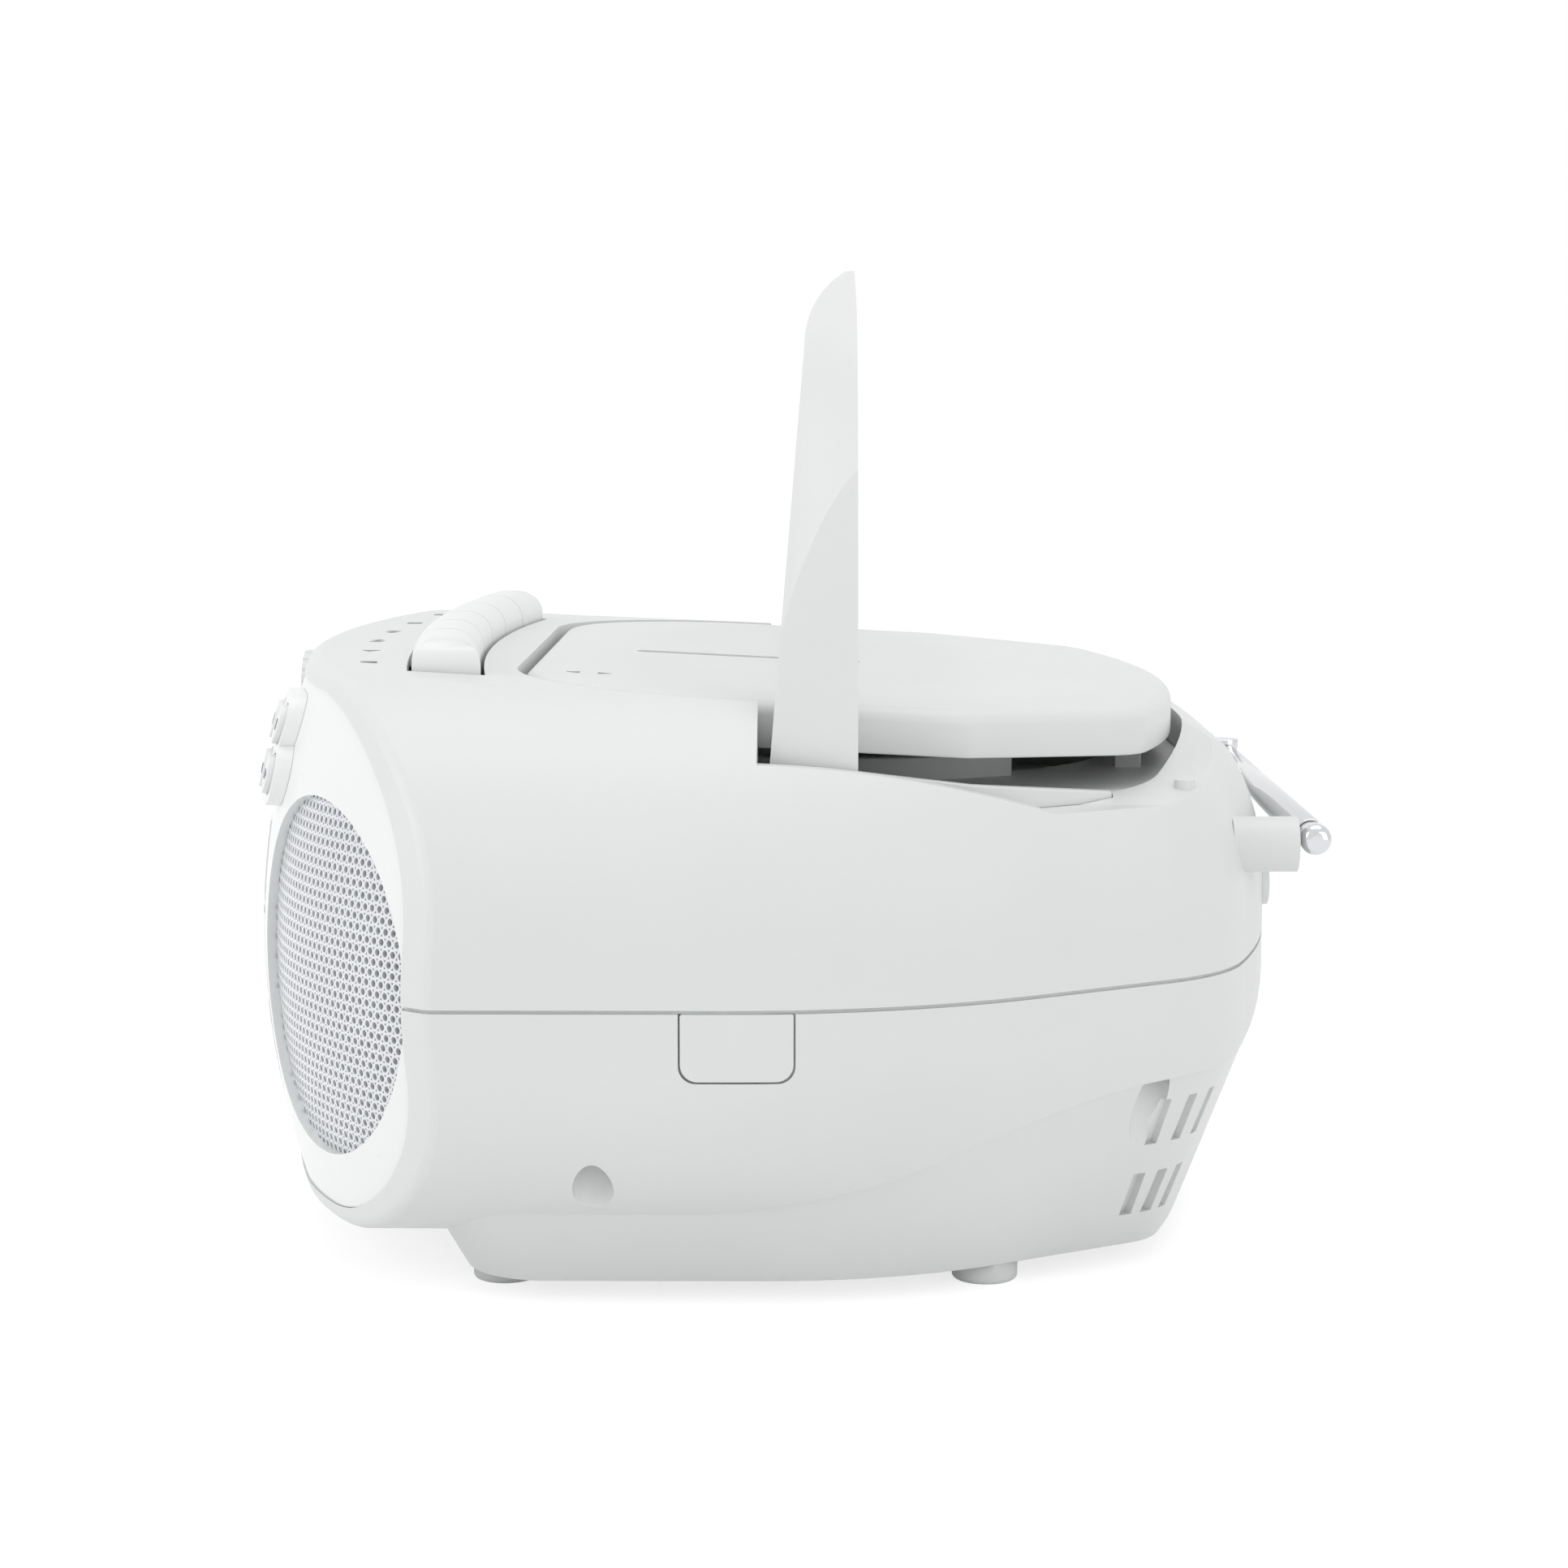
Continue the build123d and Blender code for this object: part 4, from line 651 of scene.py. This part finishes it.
@dataclass
class PrintedMarks(FlatTrim):
    """Plain symbols beside the keys, on the buttons and on the lid, in millimetres.

    The last six sizes are shares of a symbol's height.
    """

    front: Front = field(default_factory=Front)
    lid: LidTop = field(default_factory=LidTop)
    top_z: float = 129.5
    key_marks: tuple[Mark, ...] = (Mark.PAUSE, Mark.STOP, Mark.FORWARD, Mark.BACK, Mark.PLAY, Mark.RECORD)
    key_mark_places: tuple[tuple[float, float], ...] = (
        (-70.0, -87.0), (-41.0, -90.5), (-13.6, -92.5), (13.6, -92.5), (41.0, -90.5), (70.0, -87.0))
    key_mark_size: float = 4.4
    button_marks: tuple[Mark, ...] = (Mark.PLAY, Mark.STOP, Mark.BACK, Mark.FORWARD)
    button_places: tuple[tuple[float, float], ...] = (
        (58.0, 116.0), (70.0, 116.0), (61.0, 105.5), (73.0, 105.5))
    button_rise: float = 3.8
    button_mark_size: float = 3.0
    lid_mark_x: float = 62.0
    lid_mark_turns: tuple[tuple[int, float], ...] = ((0, -37.0), (180, -43.0))
    lid_mark_size: float = 3.6
    disc_sides: int = 28
    triangle_r: float = 0.55
    pause_bar: Triple = (0.25, 0.24, 0.9)
    stop_side: float = 0.8
    disc_r: float = 0.42
    pair_offset: float = 0.38
    pair_size: float = 0.8

    def triangle(self, shape: bmesh.types.BMesh, x: float, size: float, turn: float) -> None:
        """Adds a flat triangle.

        Args:
            shape: the shape that takes it.
            x: its middle.
            size: its height.
            turn: the way its tip points, in degrees.
        """
        place = Matrix.Translation((x, 0, 0)) @ Matrix.Rotation(math.radians(turn - 90), 4, "Z")
        radius = size * self.triangle_r
        bmesh.ops.create_cone(shape, cap_ends=True, segments=3, radius1=radius, radius2=radius,
                              depth=self.print_depth, matrix=place)

    def symbol(self, mark: Mark, size: float) -> bmesh.types.BMesh:
        """Draws one symbol about the origin.

        Args:
            mark: which symbol.
            size: its height.

        Returns:
            A thin closed mesh that faces up.
        """
        shape = bmesh.new()
        if mark is Mark.PAUSE:
            offset, width, height = (size * share for share in self.pause_bar)
            self.bar(shape, -offset, 0, width, height)
            self.bar(shape, offset, 0, width, height)
        elif mark is Mark.STOP:
            self.bar(shape, 0, 0, size * self.stop_side, size * self.stop_side)
        elif mark is Mark.RECORD:
            bmesh.ops.create_cone(shape, cap_ends=True, segments=self.disc_sides, radius1=size * self.disc_r,
                                  radius2=size * self.disc_r, depth=self.print_depth)
        elif mark in (Mark.PLAY, Mark.ARROW):
            self.triangle(shape, 0, size, 0 if mark is Mark.PLAY else 90)
        else:
            turn = 0 if mark is Mark.FORWARD else 180
            self.triangle(shape, -size * self.pair_offset, size * self.pair_size, turn)
            self.triangle(shape, size * self.pair_offset, size * self.pair_size, turn)
        return shape

    def build(self) -> None:
        """Prints the symbols of keys, buttons and lid."""
        for mark, (x, y) in zip(self.key_marks, self.key_mark_places):
            self.put(self.symbol(mark, self.key_mark_size), f"key_mark_{mark.value}", GREY_INK,
                     Matrix.Translation((x, y, self.top_z)), "cabinet", "button_grey")
        for mark, body, (x, z) in zip(self.button_marks, BUTTONS, self.button_places):
            point, normal = self.front.at(x, z, -self.button_rise)
            self.put(self.symbol(mark, self.button_mark_size), f"{body}_mark", GREY_INK,
                     self.facing(point, normal), body, "button_grey")
        for turn, y in self.lid_mark_turns:
            place = self.lid.place(self.lid_mark_x, y, 0.0) @ Matrix.Rotation(math.radians(turn), 4, "Z")
            self.put(self.symbol(Mark.ARROW, self.lid_mark_size), f"lid_mark_{turn}", GREY_INK, place,
                     "cd_lid", "button_grey")


@dataclass
class LidInlay(FlatTrim):
    """Grey inlay in the lid's groove, in millimetres."""

    lid: LidTop = field(default_factory=LidTop)
    middle_y: float = -4.0 + DEPTH_SHIFT
    half_length: float = 24.0
    end_r: float = 2.35
    end_sides: int = 32
    depth: float = 0.5
    edge: float = 0.12
    sink: float = 0.5
    rim_degrees: float = 57.0
    on_axis: float = 1e-6

    def build(self) -> None:
        """Draws a disc out to a bar with round ends, rounds its rim and lays it in the groove."""
        shape = bmesh.new()
        bmesh.ops.create_cone(shape, cap_ends=True, segments=self.end_sides, radius1=self.end_r,
                              radius2=self.end_r, depth=self.depth)
        for vert in shape.verts:
            if abs(vert.co.y) > self.on_axis:
                vert.co.y += math.copysign(self.half_length, vert.co.y)
        rim = [edge for edge in shape.edges if edge.calc_face_angle(0.0) > math.radians(self.rim_degrees)]
        bmesh.ops.bevel(shape, geom=rim, offset=self.edge, offset_type="OFFSET", affect="EDGES",
                        segments=self.edge_segments, profile=0.5, material=-1)
        self.put(shape, "lid_inlay", INLAY_ACRYLIC, self.lid.place(0.0, self.middle_y, -self.sink), "cd_lid",
                 "smoked_clear")


@dataclass
class KnobPointers(FlatTrim):
    """Printed pointers on the knobs' faces, in millimetres."""

    faces: tuple[Triple, ...] = ((-57.0, -118.0 + DEPTH_SHIFT, 112.0), (-80.0, -114.6 + DEPTH_SHIFT, 108.0))
    reach: float = 5.6
    width: float = 1.0
    length: float = 4.6

    def build(self) -> None:
        """Prints a pointer on each knob."""
        for body, face in zip(KNOBS, self.faces):
            shape = bmesh.new()
            self.bar(shape, 0.0, self.reach, self.width, self.length)
            place = self.facing(Vector(face), Vector((0, -1, 0)))
            self.put(shape, f"{body}_pointer", DARK_INK, place, body, "trim_silver")


@dataclass
class DisplayDigits(FlatTrim):
    """The display's number, drawn from plain bars, in millimetres."""

    digits: str = "12:08"
    face_y: float = -104.5 + DEPTH_SHIFT
    middle_z: float = 105.0
    lift: float = 0.05
    pitch: float = 7.2
    half_width: float = 2.2
    half_height: float = 3.8
    stroke: float = 0.8
    level_length: float = 3.6
    upright_length: float = 3.2
    dot: float = 0.9
    dot_rise: float = 1.6

    def build(self) -> None:
        """Sets the bars of each digit side by side."""
        lit = {"0": "abcdef", "1": "bc", "2": "abged", "8": "abcdefg"}
        level = {"a": 1, "g": 0, "d": -1}
        upright = {"b": (1, 0.5), "c": (1, -0.5), "f": (-1, 0.5), "e": (-1, -0.5)}
        shape = bmesh.new()
        for index, sign in enumerate(self.digits):
            x = (index - (len(self.digits) - 1) / 2) * self.pitch
            if sign == ":":
                self.bar(shape, x, self.dot_rise, self.dot, self.dot)
                self.bar(shape, x, -self.dot_rise, self.dot, self.dot)
            for bar in lit.get(sign, ""):
                if bar in level:
                    self.bar(shape, x, level[bar] * self.half_height, self.level_length, self.stroke)
                else:
                    across, up = upright[bar]
                    self.bar(shape, x + across * self.half_width, up * self.half_height, self.stroke,
                             self.upright_length)
        place = self.facing(Vector((0, self.face_y, self.middle_z)), Vector((0, -1, 0)), self.lift)
        self.put(shape, "display_digits", DARK_INK, place, "cabinet", "lcd_grey")


@dataclass
class DoorRidges(FlatTrim):
    """Grip ridges under the battery door, in millimetres."""

    count: int = 6
    pitch: float = 2.4
    size: Triple = (26.0, 1.0, 1.0)
    edge: float = 0.3
    first: Triple = (0.0, 15.0, 4.5)

    def build(self) -> None:
        """Sets the ridges in a row and rounds the rims of their two long sides."""
        shape = bmesh.new()
        for index in range(self.count):
            place = Matrix.Translation((0, index * self.pitch, 0)) @ Matrix.Diagonal((*self.size, 1))
            bmesh.ops.create_cube(shape, size=1.0, matrix=place)
        half = self.size[1] / 2
        rims = [edge for edge in shape.edges if abs(edge.verts[0].co.y - edge.verts[1].co.y) < half]
        bmesh.ops.bevel(shape, geom=rims, offset=self.edge, offset_type="OFFSET", affect="EDGES",
                        segments=self.edge_segments, profile=0.5, material=-1)
        self.put(shape, "battery_door_ridges", CABINET_ABS, Matrix.Translation(self.first), "battery_door",
                 "cabinet_white")


@dataclass(frozen=True)
class Lamp:
    """A soft square lamp: its place and the length of its sides in metres, and its power in watts."""

    name: str
    place: Triple
    size: float
    power: float


@dataclass
class Studio:
    """Pale floor, white surround, soft lamps and the camera of the photograph, in metres."""

    camera_place: Triple = (0.768, 0.00865, 0.1906)
    ahead: Triple = (-0.99219, -0.00849, -0.12447)
    focal_px: float = 4000.0
    image_px: float = 1932.0
    sensor_mm: float = 36.0
    clip_start: float = 0.01
    surround: float = 0.66
    floor_half: float = 6.0
    floor_colour: str = "#F2F2F2"
    floor_glow: float = 1.46
    floor_glow_share: float = 0.5
    lamp_aim: Triple = (0.0, 0.0, 0.08)
    lamps: tuple[Lamp, ...] = (Lamp("key_left", (0.55, -1.15, 0.6), 0.9, 4.8),
                               Lamp("fill_rear", (1.0, 0.95, 0.35), 1.0, 3.4),
                               Lamp("top_soft", (0.0, 0.15, 1.4), 1.2, 5.0))

    def hang(self, lamp: Lamp) -> None:
        """Hangs a lamp so that it faces the radio.

        Args:
            lamp: the lamp.
        """
        data = bpy.data.lights.new(lamp.name, "AREA")
        data.size = lamp.size
        data.energy = lamp.power
        hung = bpy.data.objects.new(lamp.name, data)
        hung.location = lamp.place
        hung.rotation_euler = (Vector(self.lamp_aim) - Vector(lamp.place)).to_track_quat("-Z", "Y").to_euler()
        bpy.context.scene.collection.objects.link(hung)

    def white_rays(self, tree: bpy.types.NodeTree) -> bpy.types.NodeSocket:
        """Adds the sum of the rays that see the plain white surround.

        Args:
            tree: node tree that takes the nodes.

        Returns:
            A socket that is 1 for those rays.
        """
        path = node(tree, "ShaderNodeLightPath").outputs
        some = node(tree, "ShaderNodeMath", {0: path["Is Camera Ray"], 1: path["Is Glossy Ray"]},
                    operation="ADD")
        both = node(tree, "ShaderNodeMath", {0: some.outputs[0], 1: path["Is Transmission Ray"]},
                    operation="ADD", use_clamp=True)
        return both.outputs[0]

    def build(self) -> None:
        """Sets up surround, floor, lamps and camera."""
        scene = bpy.context.scene
        scene.view_settings.view_transform = "Standard"
        world = bpy.data.worlds.new("studio_surround")
        scene.world = world
        world.use_nodes = True
        tree = world.node_tree
        tree.nodes.clear()
        level = node(tree, "ShaderNodeMapRange", {
            "Value": self.white_rays(tree), "To Min": self.surround, "To Max": 1.0})
        back = node(tree, "ShaderNodeBackground", {"Color": linear("#FFFFFF"), "Strength": level.outputs[0]})
        out = node(tree, "ShaderNodeOutputWorld")
        tree.links.new(back.outputs[0], out.inputs["Surface"])
        self.floor()
        for lamp in self.lamps:
            self.hang(lamp)
        self.camera()

    def floor(self) -> None:
        """Lays the pale floor, which keeps the radio's shadow."""
        shape = bmesh.new()
        bmesh.ops.create_grid(shape, x_segments=1, y_segments=1, size=self.floor_half)
        mesh = bpy.data.meshes.new("floor")
        shape.to_mesh(mesh)
        shape.free()
        material = bpy.data.materials.new("studio_floor_pale")
        material.use_nodes = True
        tree = material.node_tree
        tree.nodes.clear()
        matt = node(tree, "ShaderNodeBsdfDiffuse", {"Color": linear(self.floor_colour)})
        share = node(tree, "ShaderNodeMath", {0: self.white_rays(tree), 1: self.floor_glow_share},
                     operation="MULTIPLY")
        glow = node(tree, "ShaderNodeEmission", {"Color": linear("#FFFFFF"), "Strength": self.floor_glow})
        mixed = node(tree, "ShaderNodeMixShader", {
            0: share.outputs[0], 1: matt.outputs[0], 2: glow.outputs[0]})
        out = node(tree, "ShaderNodeOutputMaterial")
        tree.links.new(mixed.outputs[0], out.inputs["Surface"])
        mesh.materials.append(material)
        floor = bpy.data.objects.new("floor", mesh)
        bpy.context.scene.collection.objects.link(floor)

    def camera(self) -> None:
        """Places the camera at the photograph's viewing angle."""
        data = bpy.data.cameras.new("camera")
        data.sensor_width = self.sensor_mm
        data.lens = self.focal_px / self.image_px * self.sensor_mm
        data.clip_start = self.clip_start
        camera = bpy.data.objects.new("camera", data)
        forward = Vector(self.ahead).normalized()
        right = forward.cross(Vector((0, 0, 1))).normalized()
        up = right.cross(forward)
        turn = Matrix((right, up, -forward)).transposed()
        camera.matrix_world = Matrix.Translation(self.camera_place) @ turn.to_4x4()
        bpy.context.scene.collection.objects.link(camera)
        bpy.context.scene.camera = camera


def main() -> None:
    """Builds the studio, dresses the nodes and adds the pieces in order."""
    logging.basicConfig(level=logging.INFO, format="%(message)s")
    Studio().build()
    MouldedParts().build()
    SeamTongue().build()
    PerforatedGrilles().build()
    PrintedMarks().build()
    LidInlay().build()
    KnobPointers().build()
    DisplayDigits().build()
    DoorRidges().build()


if __name__ == "__main__":
    main()
